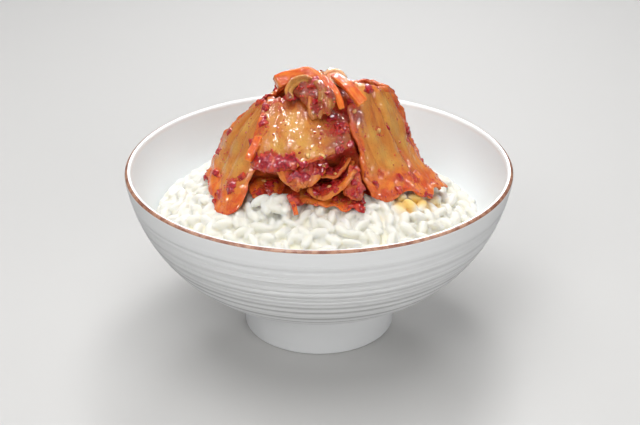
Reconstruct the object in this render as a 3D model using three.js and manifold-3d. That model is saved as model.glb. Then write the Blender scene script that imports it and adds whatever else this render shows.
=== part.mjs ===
// Kimchi heaped on white rice in a footed porcelain bowl.
// Millimetres, +Z up, origin in the middle of the foot ring's underside, the front faces -Y.

import * as THREE from 'three';
import { mergeVertices } from 'three/addons/utils/BufferGeometryUtils.js';
import Module from 'manifold-3d';

const wasm = await Module();
wasm.setup();

// ---------------------------------------------------------------- driving dimensions

const RIM_RADIUS = 60;
const BOWL_HEIGHT = 55;
const BOWL_SEGMENTS = 44;
const LIP_THICKNESS = 2.1;
const FLOOR_THICKNESS = 4.2;
const FOOT_RADIUS = 24.4;
const FOOT_WALL = 3.6;
const FOOT_HEIGHT = 14;
const FOOT_ROUND = 0.8;
const FOOT_TAPER = 0.3;
const RECESS_DEPTH = 13.2;
const RECESS_ROUND = 1.2;

const GAP = 0.3;

const RICE_TOP = 52;
const RICE_EDGE_Z = 37;
const RICE_EDGE_RADIUS = 51.5;
const RICE_EDGE_PLACE = 0.69;
const RICE_TILT = -1.5;
const RICE_SINK = 0.9;
const GRAIN_COUNT = 198;
const GRAIN_LENGTH = 7.2;
const GRAIN_WIDTH = 3.5;

const BED_SIZE = { x: 27, front: 11.5, back: 16.5, up: 26.5, down: 8 };
const BED_CENTRE = { x: 1, y: 0, z: 48.5 };

// ---------------------------------------------------------------- leaves and strips
// A leaf hangs between two edges that run from the top of the heap to the rice, the left one
// first as seen from outside. Points are [x, y, z].
//   thick    thickness in the middle             crown   how far the middle bulges out
//   ribs     ridges side by side, ribHeight high foot    extra length in the middle
//   lobes    ragged tips at the foot, lobeSize of the leaf's length
//   grid     [steps down, steps across]

const LEAVES = {
  leaf_right: {
    left: [[10.6, 1, 81], [9, -8, 75.2], [11.7, -13, 63.4], [15.6, -16.5, 50.6]],
    right: [[21.3, 8, 76.8], [27.7, 11, 64.2], [31.5, 10, 52.8], [41.9, 3.7, 44.6]],
    thick: 2.2, crown: 2.5, ribs: 5, ribHeight: 0.45, foot: 0.03, lobes: 2, lobeSize: 0.03,
    grid: [10, 10],
  },
  leaf_left: {
    left: [[-17.1, 2, 74.8], [-28.3, 9, 62.7], [-32.5, 11, 53.8], [-36.8, 8.5, 46.2]],
    right: [[-11.7, -5, 77.2], [-16.4, -11, 67.4], [-19.8, -14.8, 58.6], [-23.6, -19.8, 49.6]],
    thick: 2.0, crown: 2.4, ribs: 4, ribHeight: 0.4, foot: 0.08, lobes: 1, lobeSize: -0.1,
    grid: [10, 8],
  },
  leaf_front: {
    left: [[-15.4, -2, 77.4], [-17.9, -9, 72.4], [-20.5, -14, 66.8], [-20.2, -17, 61]],
    right: [[6.6, -7, 74.2], [8.4, -10, 72.2], [9.2, -13, 70.2], [10.1, -15.5, 67.4]],
    thick: 1.8, crown: 4.5, ribs: 2, ribHeight: 0.35, foot: 0.22, lobes: 0, lobeSize: 0,
    grid: [8, 8],
  },
  fold_left: {
    left: [[-12.4, -17, 64.2], [-12.1, -19.5, 60.8], [-10, -21, 58.3], [-6.5, -22, 56.8]],
    right: [[2.1, -17, 64.2], [1.2, -20, 61], [-1.2, -21.5, 58.8], [-4.4, -22.2, 56.9]],
    thick: 1.7, crown: 2.2, ribs: 0, ribHeight: 0, foot: 0, lobes: 0, lobeSize: 0,
    grid: [6, 5],
  },
  fold_right: {
    left: [[-3.5, -21, 56], [0.6, -22.5, 53.7], [7.1, -21.5, 57.8], [11.6, -18, 62.1]],
    right: [[-2.4, -13, 55.2], [1.2, -14, 54.3], [6.3, -13, 56.5], [9.3, -11, 60.6]],
    thick: 1.6, crown: -0.8, ribs: 0, ribHeight: 0, foot: 0, lobes: 0, lobeSize: 0,
    grid: [8, 3],
  },
  fold_inner: {
    left: [[0.9, -18.5, 59.4], [4.5, -19.5, 59.2], [7.6, -19, 61.2], [8.9, -16.5, 63.6]],
    right: [[2.1, -12, 58.8], [4.2, -13, 59], [6.4, -13, 61], [7.4, -11, 62.4]],
    thick: 1.3, crown: -0.8, ribs: 0, ribHeight: 0, foot: 0, lobes: 0, lobeSize: 0,
    grid: [6, 3],
  },
  fold_side: {
    left: [[8.9, -16.5, 61.4], [8.3, -18.5, 58.4], [8, -19.5, 55.6], [8.3, -20, 52.9]],
    right: [[11.4, -15, 60.1], [12.2, -17.5, 57.3], [13.1, -18.5, 54.5], [12.6, -19, 51.4]],
    thick: 1.4, crown: 1.2, ribs: 0, ribHeight: 0, foot: 0, lobes: 0, lobeSize: 0,
    grid: [5, 3],
  },
  leaf_base: {
    left: [[-8.4, -11, 52.9], [-9.1, -14.5, 52.3], [-9.6, -18, 51.8], [-9.2, -20.8, 51]],
    right: [[13, -8, 52], [13.6, -12, 51.4], [13.8, -16, 50.6], [13.2, -22.2, 50]],
    thick: 1.4, crown: 0.5, ribs: 0, ribHeight: 0, foot: 0.05, lobes: 3, lobeSize: 0.06,
    grid: [4, 8],
  },
  leaf_base_left: {
    left: [[-20.5, -9, 54], [-21, -12.5, 53.4], [-20.8, -15.5, 52.8], [-19.8, -18.2, 51.6]],
    right: [[-9.6, -11, 53.4], [-10.2, -14, 53.2], [-10.8, -16, 52.9], [-11.4, -17.5, 52]],
    thick: 1.2, crown: 0.5, ribs: 0, ribHeight: 0, foot: 0.05, lobes: 1, lobeSize: 0.08,
    grid: [4, 4],
  },
  leaf_tip: {
    left: [[1.1, 2.4, 81.6], [2.7, 3.5, 84.4], [5.8, 4, 84.2], [8.8, 3, 81.4]],
    right: [[2.1, -3, 80.8], [4.5, -3, 82.6], [6.8, -3, 82.4], [8.6, -2, 80.6]],
    thick: 1.6, crown: 0.8, ribs: 0, ribHeight: 0, foot: 0, lobes: 0, lobeSize: 0,
    grid: [6, 3],
  },
  leaf_crown: {
    left: [[2, -0.5, 83.2], [3.5, 5, 82.4], [5, 9.5, 78.6], [6, 12.5, 74]],
    right: [[-8.5, -0.5, 82.4], [-11.5, 4, 80.2], [-14, 8, 76.2], [-15.5, 10.5, 71.5]],
    thick: 1.6, crown: 1.5, ribs: 3, ribHeight: 0.4, foot: 0.06, lobes: 2, lobeSize: 0.06,
    grid: [5, 6],
  },
  leaf_back_right: {
    left: [[21.5, 9.5, 76.4], [26.6, 15, 66], [29.5, 15.5, 55], [36, 11.5, 45.2]],
    right: [[10, 5.5, 80], [15, 20, 66.5], [18.5, 24.5, 55], [21.5, 27, 46.8]],
    thick: 2.0, crown: 2.2, ribs: 3, ribHeight: 0.4, foot: 0.06, lobes: 2, lobeSize: 0.04,
    grid: [6, 6],
  },
  leaf_back: {
    left: [[12, 2.5, 80.6], [15.5, 16.5, 69], [17.5, 21.5, 58], [19, 26.5, 47.6]],
    right: [[-6.5, 3, 80.6], [-9.5, 18.5, 69], [-11.5, 23.5, 58], [-13.5, 27.5, 47.6]],
    thick: 2.2, crown: 3.0, ribs: 4, ribHeight: 0.4, foot: 0.04, lobes: 3, lobeSize: 0.04,
    grid: [6, 8],
  },
  leaf_back_left: {
    left: [[-4, 6, 79.4], [-8, 17.5, 68], [-11, 22.5, 56.5], [-13.5, 28, 47]],
    right: [[-15.8, 4, 75.4], [-26, 11.8, 63.6], [-31, 15.2, 53.8], [-36, 14.2, 45.4]],
    thick: 1.9, crown: 2.2, ribs: 3, ribHeight: 0.4, foot: 0.08, lobes: 2, lobeSize: 0.05,
    grid: [6, 6],
  },
};

// The crumpled leaf on top: a ridge line, and a lower edge that hangs in two loops.
const CURL = {
  ridge: [[-9.4, -4, 80], [-6.8, -3, 83.4], [-1.8, -3, 84], [3.2, -4, 81.8]],
  hem: [[-8.6, -8, 79.2], [-5.2, -9.5, 78], [-3.6, -12, 76.4], [-1.6, -13, 74.6], [0.2, -11, 76.2],
    [0.8, -8.5, 78.2], [1.6, -10.5, 76.6], [3, -11.5, 75.8], [4.2, -9, 77.4]],
  thick: 1.5,
  grid: [18, 3],
};

// Carrot strips: path points, and [width, depth] at the start and at the end.
const STRIPS = {
  carrot_long: {
    path: [[-12.8, -4, 82.9], [-10.4, -3, 83.8], [-6.9, -2, 84.7], [-3.3, -2.3, 85.5],
      [0, -4.5, 84.7], [3.3, -7.5, 83.3], [5.6, -10, 80.8], [6.8, -12, 77.8]],
    start: [4.2, 4.4], end: [2.4, 2.0], across: [0, -1, 0.5], steps: 14,
  },
  carrot_short: {
    path: [[4.5, -1, 84.2], [6.9, -4.5, 83.6], [9.8, -7.8, 82], [13.1, -10.2, 78.8]],
    start: [2.6, 1.8], end: [3.6, 1.9], across: [1, 0.4, 0.2], steps: 8,
  },
  carrot_side: {
    path: [[-17.8, -13.5, 69.5], [-18.6, -15.5, 67.8], [-19.9, -17, 65.8], [-20.9, -18.3, 63.8]],
    start: [3, 1.7], end: [2, 1.4], across: [0.85, 0, 0.45], steps: 5,
  },
  carrot_shred: {
    path: [[-8.9, -22, 54.2], [-7.8, -23.2, 52.8], [-7, -24.4, 51], [-6.6, -25.4, 49.6]],
    start: [1.8, 1.4], end: [1.5, 1.1], across: [1, 0, 0], steps: 5,
  },
};

// ---------------------------------------------------------------- shared helpers

const vec = (p) => new THREE.Vector3(p[0], p[1], p[2]);
const mix = THREE.MathUtils.lerp;

function seededRandom(seed) {
  let state = seed;
  return () => {
    state = (state * 1664525 + 1013904223) % 4294967296;
    return state / 4294967296;
  };
}

// A point on an open curve, carried on straight past either end.
function along(curve, t) {
  const inside = THREE.MathUtils.clamp(t, 0, 1);
  const point = curve.getPoint(inside);
  if (t !== inside) {
    const step = 0.01;
    const from = curve.getPoint(inside === 1 ? 1 - step : 0);
    const to = curve.getPoint(inside === 1 ? 1 : step);
    point.addScaledVector(to.sub(from), (t - inside) / step);
  }
  return point;
}

function throughPoints(points) {
  return new THREE.CatmullRomCurve3(points.map(vec), false, 'catmullrom', 0.5);
}

// Merges shared vertices and drops the triangles that a pole squeezes flat.
function closedGeometry(geometry) {
  const bare = geometry.clone();
  bare.deleteAttribute('normal');
  bare.deleteAttribute('uv');
  const merged = mergeVertices(bare, 1e-4);
  const kept = [];
  const index = merged.index.array;
  for (let i = 0; i < index.length; i += 3) {
    const [a, b, c] = [index[i], index[i + 1], index[i + 2]];
    if (a !== b && b !== c && c !== a) kept.push(a, b, c);
  }
  merged.setIndex(kept);
  return merged;
}

function toManifold(geometry) {
  return new wasm.Manifold(new wasm.Mesh({
    numProp: 3,
    vertProperties: new Float32Array(geometry.attributes.position.array),
    triVerts: new Uint32Array(geometry.index.array),
  }));
}

function toGeometry(manifold) {
  const mesh = manifold.getMesh();
  const geometry = new THREE.BufferGeometry();
  geometry.setAttribute('position', new THREE.BufferAttribute(mesh.vertProperties, 3));
  geometry.setIndex(new THREE.BufferAttribute(mesh.triVerts, 1));
  return geometry;
}

function largestBody(manifold) {
  const bodies = manifold.decompose();
  bodies.sort((a, b) => b.volume() - a.volume());
  return bodies[0];
}

// ---------------------------------------------------------------- thin sheets

// A closed sheet: surface(u, v) gives its middle, halfThickness(u, v) how far each face
// stands off, and grow makes it that much bigger all round.
function sheetSolid(surface, halfThickness, [rows, columns], grow = 0) {
  const size = {
    u: surface(0, 0.5).distanceTo(surface(0.5, 0.5)) + surface(0.5, 0.5).distanceTo(surface(1, 0.5)),
    v: surface(0.5, 0).distanceTo(surface(0.5, 0.5)) + surface(0.5, 0.5).distanceTo(surface(0.5, 1)),
  };
  const stretch = (t, length) => mix(-grow / length, 1 + grow / length, t);
  const faces = [[], []];
  for (let i = 0; i <= rows; i++) {
    for (let j = 0; j <= columns; j++) {
      const u = stretch(i / rows, size.u);
      const v = stretch(j / columns, size.v);
      const step = 0.02;
      const down = surface(u + step, v).sub(surface(u - step, v));
      const across = surface(u, v + step).sub(surface(u, v - step));
      const normal = down.cross(across).normalize();
      const half = halfThickness(i / rows, j / columns) + grow;
      faces[0].push(surface(u, v).addScaledVector(normal, half));
      faces[1].push(surface(u, v).addScaledVector(normal, -half));
    }
  }
  const count = faces[0].length;
  const at = (i, j) => i * (columns + 1) + j;
  const index = [];
  const quad = (a, b, c, d) => index.push(a, b, c, a, c, d);
  for (let i = 0; i < rows; i++) {
    for (let j = 0; j < columns; j++) {
      const [a, b, c, d] = [at(i, j), at(i + 1, j), at(i + 1, j + 1), at(i, j + 1)];
      quad(a, b, c, d);
      index.push(count + a, count + c, count + b, count + a, count + d, count + c);
    }
  }
  const border = [];
  for (let j = 0; j < columns; j++) border.push(at(0, j));
  for (let i = 0; i < rows; i++) border.push(at(i, columns));
  for (let j = columns; j > 0; j--) border.push(at(rows, j));
  for (let i = rows; i > 0; i--) border.push(at(i, 0));
  border.forEach((here, k) => {
    const next = border[(k + 1) % border.length];
    quad(here, next, count + next, count + here);
  });
  const geometry = new THREE.BufferGeometry().setFromPoints([...faces[0], ...faces[1]]);
  geometry.setIndex(index);
  return geometry;
}

function leafSurface(leaf) {
  const left = throughPoints(leaf.left);
  const right = throughPoints(leaf.right);
  const flat = (u, v) => along(left, u).lerp(along(right, u), v);
  return (u, v) => {
    const middle = 4 * v * (1 - v);
    const ragged = leaf.lobeSize * Math.sin(2 * Math.PI * leaf.lobes * v);
    const reach = u * (1 + leaf.foot * middle + ragged * u);
    const step = 0.02;
    const down = flat(reach + step, v).sub(flat(reach - step, v));
    const across = flat(reach, v + step).sub(flat(reach, v - step));
    const crown = leaf.crown * middle * (0.45 + 0.55 * u);
    const out = crown - leaf.ribHeight * Math.cos(2 * Math.PI * leaf.ribs * v);
    return flat(reach, v).addScaledVector(down.cross(across).normalize(), out);
  };
}

function makeLeaf(leaf, grow = 0) {
  const half = (u, v) => leaf.thick / 2 * (1 - 0.35 * (2 * v - 1) ** 4) * (1 - 0.3 * u ** 4);
  return sheetSolid(leafSurface(leaf), half, leaf.grid, grow);
}

function makeCurl(grow = 0) {
  const ridge = throughPoints(CURL.ridge);
  const hem = throughPoints(CURL.hem);
  const surface = (u, v) => along(ridge, u).lerp(along(hem, u), v);
  return sheetSolid(surface, () => CURL.thick / 2, CURL.grid, grow);
}

// ---------------------------------------------------------------- strips

function makeStrip(strip, grow = 0) {
  const path = throughPoints(strip.path);
  const stretch = grow / path.getLength();
  const points = [];
  for (let i = 0; i <= strip.steps; i++) {
    const t = mix(-stretch, 1 + stretch, i / strip.steps);
    const tangent = along(path, t + 0.01).sub(along(path, t - 0.01)).normalize();
    const side = vec(strip.across);
    side.addScaledVector(tangent, -side.dot(tangent)).normalize();
    const up = tangent.clone().cross(side);
    const width = mix(strip.start[0], strip.end[0], i / strip.steps) / 2 + grow;
    const depth = mix(strip.start[1], strip.end[1], i / strip.steps) / 2 + grow;
    for (const [s, d] of [[-1, -1], [1, -1], [1, 1], [-1, 1]]) {
      points.push(along(path, t).addScaledVector(side, s * width).addScaledVector(up, d * depth));
    }
  }
  const index = [];
  const quad = (a, b, c, d) => index.push(a, b, c, a, c, d);
  for (let i = 0; i < strip.steps; i++) {
    for (let k = 0; k < 4; k++) {
      const next = (k + 1) % 4;
      quad(4 * i + k, 4 * i + next, 4 * i + 4 + next, 4 * i + 4 + k);
    }
  }
  quad(3, 2, 1, 0);
  const last = 4 * strip.steps;
  quad(last, last + 1, last + 2, last + 3);
  const geometry = new THREE.BufferGeometry().setFromPoints(points);
  geometry.setIndex(index);
  return geometry;
}

// ---------------------------------------------------------------- bowl

const outerWall = new THREE.CubicBezierCurve(
  new THREE.Vector2(FOOT_RADIUS - 6.6, FOOT_HEIGHT - 0.2),
  new THREE.Vector2(RIM_RADIUS * 0.7, FOOT_HEIGHT),
  new THREE.Vector2(RIM_RADIUS * 0.96, BOWL_HEIGHT * 0.63),
  new THREE.Vector2(RIM_RADIUS, BOWL_HEIGHT),
);
const WALL_START = 0.115;
const WALL_END = 0.99;

// A point at a depth below the outer face, t running from the foot to the lip.
function wallPoint(t, depth) {
  const tangent = outerWall.getTangent(t);
  const point = outerWall.getPoint(t);
  return new THREE.Vector2(point.x - tangent.y * depth, point.y + tangent.x * depth);
}

function wallThickness(t) {
  return mix(FLOOR_THICKNESS, LIP_THICKNESS, Math.min(1, t * 1.3));
}

function outerProfile(steps) {
  const points = [];
  for (let i = 0; i <= steps; i++) points.push(wallPoint(mix(WALL_START, WALL_END, i / steps), 0));
  return points;
}

// The inner face up to the place `to`, moved inwards by clearance.
function innerProfile(steps, clearance, to) {
  const points = [];
  for (let i = 0; i <= steps; i++) {
    const t = mix(WALL_START, to, i / steps);
    points.push(wallPoint(t, wallThickness(t) + clearance));
  }
  return points;
}

const INNER_FLOOR = wallPoint(WALL_START, wallThickness(WALL_START)).y - 0.1;

function lathe(profile, segments) {
  return closedGeometry(new THREE.LatheGeometry(profile, segments).rotateX(Math.PI / 2));
}

function makeBowl() {
  const footInside = FOOT_RADIUS - FOOT_WALL;
  const lipCentre = wallPoint(WALL_END, LIP_THICKNESS / 2);
  const lip = [];
  for (let i = 1; i <= 3; i++) {
    const angle = Math.PI * i / 4;
    lip.push(new THREE.Vector2(
      lipCentre.x + Math.cos(angle) * LIP_THICKNESS / 2,
      lipCentre.y + Math.sin(angle) * LIP_THICKNESS / 2,
    ));
  }
  const foot = [
    [0, RECESS_DEPTH],
    [footInside - RECESS_ROUND, RECESS_DEPTH],
    [footInside, RECESS_DEPTH - RECESS_ROUND],
    [footInside, FOOT_ROUND],
    [footInside + FOOT_ROUND, 0],
    [FOOT_RADIUS - FOOT_TAPER - FOOT_ROUND, 0],
    [FOOT_RADIUS - FOOT_TAPER, FOOT_ROUND],
    [FOOT_RADIUS, FOOT_HEIGHT - FOOT_ROUND],
  ].map(([r, z]) => new THREE.Vector2(r, z));
  const outside = outerProfile(8);
  const inside = innerProfile(7, 0, WALL_END).reverse();
  const profile = [...foot, ...outside, ...lip, ...inside, new THREE.Vector2(0, INNER_FLOOR)];
  return lathe(profile, BOWL_SEGMENTS);
}

// ---------------------------------------------------------------- rice

function riceSurface(x, y) {
  const r = Math.hypot(x, y) / RICE_EDGE_RADIUS;
  return RICE_TOP - (RICE_TOP - RICE_EDGE_Z) * r ** 2.2 + RICE_TILT * x / RICE_EDGE_RADIUS;
}

// The mound without its top layer of grains, lifted all over by lift.
function makeRiceCore(lift = 0) {
  const axis = new THREE.Vector2(0, INNER_FLOOR + GAP);
  const bottom = [axis, ...innerProfile(5, GAP + 0.1, RICE_EDGE_PLACE)];
  const rings = 9;
  const edgeRadius = bottom[bottom.length - 1].x;
  const top = [];
  for (let i = rings - 1; i >= 0; i--) {
    top.push(new THREE.Vector2(edgeRadius * i / rings, 0));
  }
  const geometry = lathe([...bottom, ...top], BOWL_SEGMENTS / 2);
  const position = geometry.attributes.position;
  for (let i = 0; i < position.count; i++) {
    const [x, y] = [position.getX(i), position.getY(i)];
    if (position.getZ(i) < 1) {
      const lump = 0.5 * Math.sin(0.31 * x + 1) * Math.sin(0.37 * y + 2);
      position.setZ(i, riceSurface(x, y) - RICE_SINK + lump + lift);
    }
  }
  return geometry;
}

// The room inside the bowl that contents may fill.
function makeRoom() {
  const wall = innerProfile(7, GAP, WALL_END);
  const floor = new THREE.Vector2(0, INNER_FLOOR + GAP);
  const profile = [floor, ...wall, new THREE.Vector2(0, BOWL_HEIGHT + 20)];
  return lathe(profile, BOWL_SEGMENTS);
}

function makeGrains(obstacle) {
  const random = seededRandom(11);
  const room = toManifold(makeRoom());
  const grains = [];
  const golden = Math.PI * (3 - Math.sqrt(5));
  for (let i = 0; i < GRAIN_COUNT; i++) {
    const r = (RICE_EDGE_RADIUS - 1.5) * Math.sqrt((i + 0.5) / GRAIN_COUNT);
    const angle = i * golden + 0.15 * random();
    const [x, y] = [r * Math.cos(angle), r * Math.sin(angle)];
    const length = GRAIN_LENGTH * mix(0.85, 1.15, random());
    const width = GRAIN_WIDTH * mix(0.9, 1.1, random());
    const grain = new THREE.SphereGeometry(0.5, 5, 3);
    grain.scale(width, length, width * 0.85);
    grain.rotateX(mix(-0.3, 0.3, random()));
    grain.rotateZ(2 * Math.PI * random());
    const slope = new THREE.Vector3(0, 0, 1);
    slope.x = riceSurface(x - 1, y) - riceSurface(x + 1, y);
    slope.y = riceSurface(x, y - 1) - riceSurface(x, y + 1);
    slope.z = 2;
    const tilt = new THREE.Quaternion().setFromUnitVectors(
      new THREE.Vector3(0, 0, 1), slope.normalize());
    grain.applyQuaternion(tilt);
    grain.translate(x, y, riceSurface(x, y) - 0.2);
    const solid = toManifold(closedGeometry(grain));
    if (!solid.intersect(obstacle).isEmpty()) continue;
    if (!solid.subtract(room).isEmpty()) continue;
    grains.push(solid);
  }
  return grains;
}

// ---------------------------------------------------------------- the heap under the leaves

function makeBed() {
  const geometry = closedGeometry(new THREE.SphereGeometry(1, 16, 8).rotateX(Math.PI / 2));
  const position = geometry.attributes.position;
  for (let i = 0; i < position.count; i++) {
    const [x, y, z] = [position.getX(i), position.getY(i), position.getZ(i)];
    const lump = 1 + 0.06 * Math.sin(5 * x + 2) * Math.sin(6 * y + 1) + 0.03 * Math.sin(9 * z);
    position.setXYZ(
      i,
      BED_CENTRE.x + x * BED_SIZE.x * lump,
      BED_CENTRE.y + y * (y < 0 ? BED_SIZE.front : BED_SIZE.back) * lump,
      BED_CENTRE.z + z * (z < 0 ? BED_SIZE.down : BED_SIZE.up) * lump,
    );
  }
  return geometry;
}

// ---------------------------------------------------------------- assembly

// The pieces of the heap, the ones on top first: each keeps clear of those above it.
function heapPieces() {
  const pieces = [];
  const add = (name, make) => pieces.push({ name, make });
  for (const name of ['carrot_long', 'carrot_short', 'carrot_side', 'carrot_shred']) {
    add(name, (grow) => makeStrip(STRIPS[name], grow));
  }
  add('leaf_curl', makeCurl);
  const order = ['leaf_tip', 'leaf_crown', 'leaf_front', 'leaf_right', 'leaf_left', 'fold_left',
    'fold_right', 'fold_inner', 'fold_side', 'leaf_base', 'leaf_base_left', 'leaf_back', 'leaf_back_left',
    'leaf_back_right'];
  for (const name of order) add(name, (grow) => makeLeaf(LEAVES[name], grow));
  return pieces;
}

function buildHeap() {
  const solids = {};
  const grown = [];
  const ground = toManifold(makeRiceCore(GAP));
  for (const { name, make } of heapPieces()) {
    let solid = toManifold(make(0));
    for (const above of grown) solid = solid.subtract(above);
    solids[name] = largestBody(solid.subtract(ground));
    grown.push(toManifold(make(GAP)).add(toManifold(make(0))));
  }
  let bed = toManifold(makeBed());
  for (const above of grown) bed = bed.subtract(above);
  solids.kimchi_bed = largestBody(bed.subtract(ground));
  return { solids, grown };
}

function material(color, roughness) {
  return new THREE.MeshStandardMaterial({ color, roughness, metalness: 0 });
}

const porcelain = material('#f1f0ec', 0.15);
const riceWhite = material('#f4f1e6', 0.45);
const cabbage = material('#cf8f45', 0.3);
const redCabbage = material('#b8452e', 0.3);
const RED_PIECES = ['kimchi_bed', 'leaf_curl', 'fold_left', 'fold_right', 'fold_inner',
  'fold_side'];
const carrot = material('#ea7320', 0.3);

const part = new THREE.Group();

function addMesh(name, geometry, look) {
  const mesh = new THREE.Mesh(geometry, look);
  mesh.name = name;
  part.add(mesh);
}

addMesh('bowl', makeBowl(), porcelain);

const heap = buildHeap();
const obstacle = wasm.Manifold.union([...heap.grown, toManifold(makeBed())]);
const rice = wasm.Manifold.union([toManifold(makeRiceCore()), ...makeGrains(obstacle)]);
addMesh('rice', toGeometry(largestBody(rice)), riceWhite);

for (const [name, solid] of Object.entries(heap.solids)) {
  let look = cabbage;
  if (name.startsWith('carrot')) look = carrot;
  if (RED_PIECES.includes(name)) look = redCabbage;
  addMesh(name, toGeometry(solid), look);
}

export default part;
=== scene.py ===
"""The looks of the kimchi, rice and bowl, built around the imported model.

Tables are in millimetres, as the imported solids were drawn; everything placed in Blender is in
metres. A leaf hangs between two edges that run from the top of the heap down to the rice.
"""
import math

import bmesh
import bpy
import numpy as np
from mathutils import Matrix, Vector
from mathutils.bvhtree import BVHTree


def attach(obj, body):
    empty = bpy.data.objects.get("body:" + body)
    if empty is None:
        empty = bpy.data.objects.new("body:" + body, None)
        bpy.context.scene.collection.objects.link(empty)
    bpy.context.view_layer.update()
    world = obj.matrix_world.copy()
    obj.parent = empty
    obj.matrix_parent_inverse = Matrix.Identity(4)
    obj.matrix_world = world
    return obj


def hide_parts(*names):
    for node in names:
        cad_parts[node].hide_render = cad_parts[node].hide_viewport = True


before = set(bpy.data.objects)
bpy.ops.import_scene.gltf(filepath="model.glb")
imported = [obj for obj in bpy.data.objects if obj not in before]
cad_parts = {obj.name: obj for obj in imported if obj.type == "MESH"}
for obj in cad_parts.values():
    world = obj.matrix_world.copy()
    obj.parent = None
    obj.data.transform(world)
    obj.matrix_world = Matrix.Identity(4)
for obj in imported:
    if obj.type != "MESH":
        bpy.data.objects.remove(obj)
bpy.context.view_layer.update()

MM = 0.001
TAU = 2 * math.pi

# ------------ driving dimensions, mm

RIM_RADIUS = 60.0
BOWL_HEIGHT = 55.0
LIP_THICKNESS = 2.1
FLOOR_THICKNESS = 4.2
FOOT_RADIUS = 24.4
FOOT_WALL = 3.6
FOOT_HEIGHT = 14.0
FOOT_ROUND = 0.8
FOOT_TAPER = 0.3
RECESS_DEPTH = 13.2
RECESS_ROUND = 1.2
BOWL_SEGMENTS = 150
# Rings that the potter's fingers left: place along the outer wall from 0 to 1, strength, which sets both
# how deep the groove is and how grey the painted shade in it is
GROOVES = ((0.165, 1.0), (0.2, 1.0), (0.36, 0.8), (0.425, 1.0), (0.49, 1.0), (0.57, 0.85), (0.62, 0.75),
           (0.66, 0.35), (0.715, 0.5), (0.8, 0.3), (0.895, 0.2))
GROOVE_WIDTH = 0.011
GROOVE_DEPTH = 0.14
# The fine rings are nearly the same all the way round: how far they wander
RING_WOBBLE = 0.006
# Where the brown line round the lip starts and ends, in degrees over the lip from the outside
LIP_LINE_FROM = (10, 30)
LIP_LINE_TO = (92, 70)

RICE_TOP = 52.0
RICE_EDGE_Z = 37.0
RICE_EDGE_RADIUS = 51.5
RICE_TILT = -1.5
GRAIN_LENGTH = 5.9
GRAIN_WIDTH = 3.2

CAMERA_PLACE = (0.31, -369.0, 220.2)
CAMERA_PITCH = math.radians(26.3)
CAMERA_LENS = 73.125
CAMERA_SENSOR = 36.0

# ------------ leaves, mm
# left, right  the two edges, [x, y, z], the left one first as seen from outside
# thick, crown thickness in the middle, and how far the middle bulges out
# ribs, rib    ridges side by side, and their height
# foot         extra length in the middle; lobes, ragged: teeth at the foot and their depth
# cells        how many cells the mesh has down and across
# Four numbers stand for the left, right, top and bottom border:
# leafy        how far the thin orange part reaches in; red: how strong the chilli is there
# lips         how much the border is rolled and pale
# In the lists u runs down the leaf and v across it, from 0 to 1, and sizes are in mm:
# creases      (points, depth, width); spots: (u, v, radius, chilli); haze: the same, darker skin
# light        (u, v, radius) of the clear yellow stem; clumps: (u, v, radius, blobs) of paste
# And one number each:
# lip_width    how wide the lips are; tear: how torn the foot is
# tone         0 pale stem, 1 orange leaf; chilli: how red the leaf is all over
# stripes      how striped the stem is; slant: how far the stripes lean
# wrinkle      how crumpled the leaf is; scattered: how many random spots it gets besides

PLAIN_LEAF = dict(
    ribs=0, rib=0, foot=0, lobes=0, ragged=0, tear=1, wrinkle=1, tone_and_light=0, stripes=1, slant=0, chilli=0,
    scattered=0, leafy=(0, 0, 0, 0), red=(0, 0, 0, 0), lips=(0, 0, 0, 0), lip_width=1, creases=[],
    spots=[], haze_and_shade=[], light=[], clumps=[])

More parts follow.
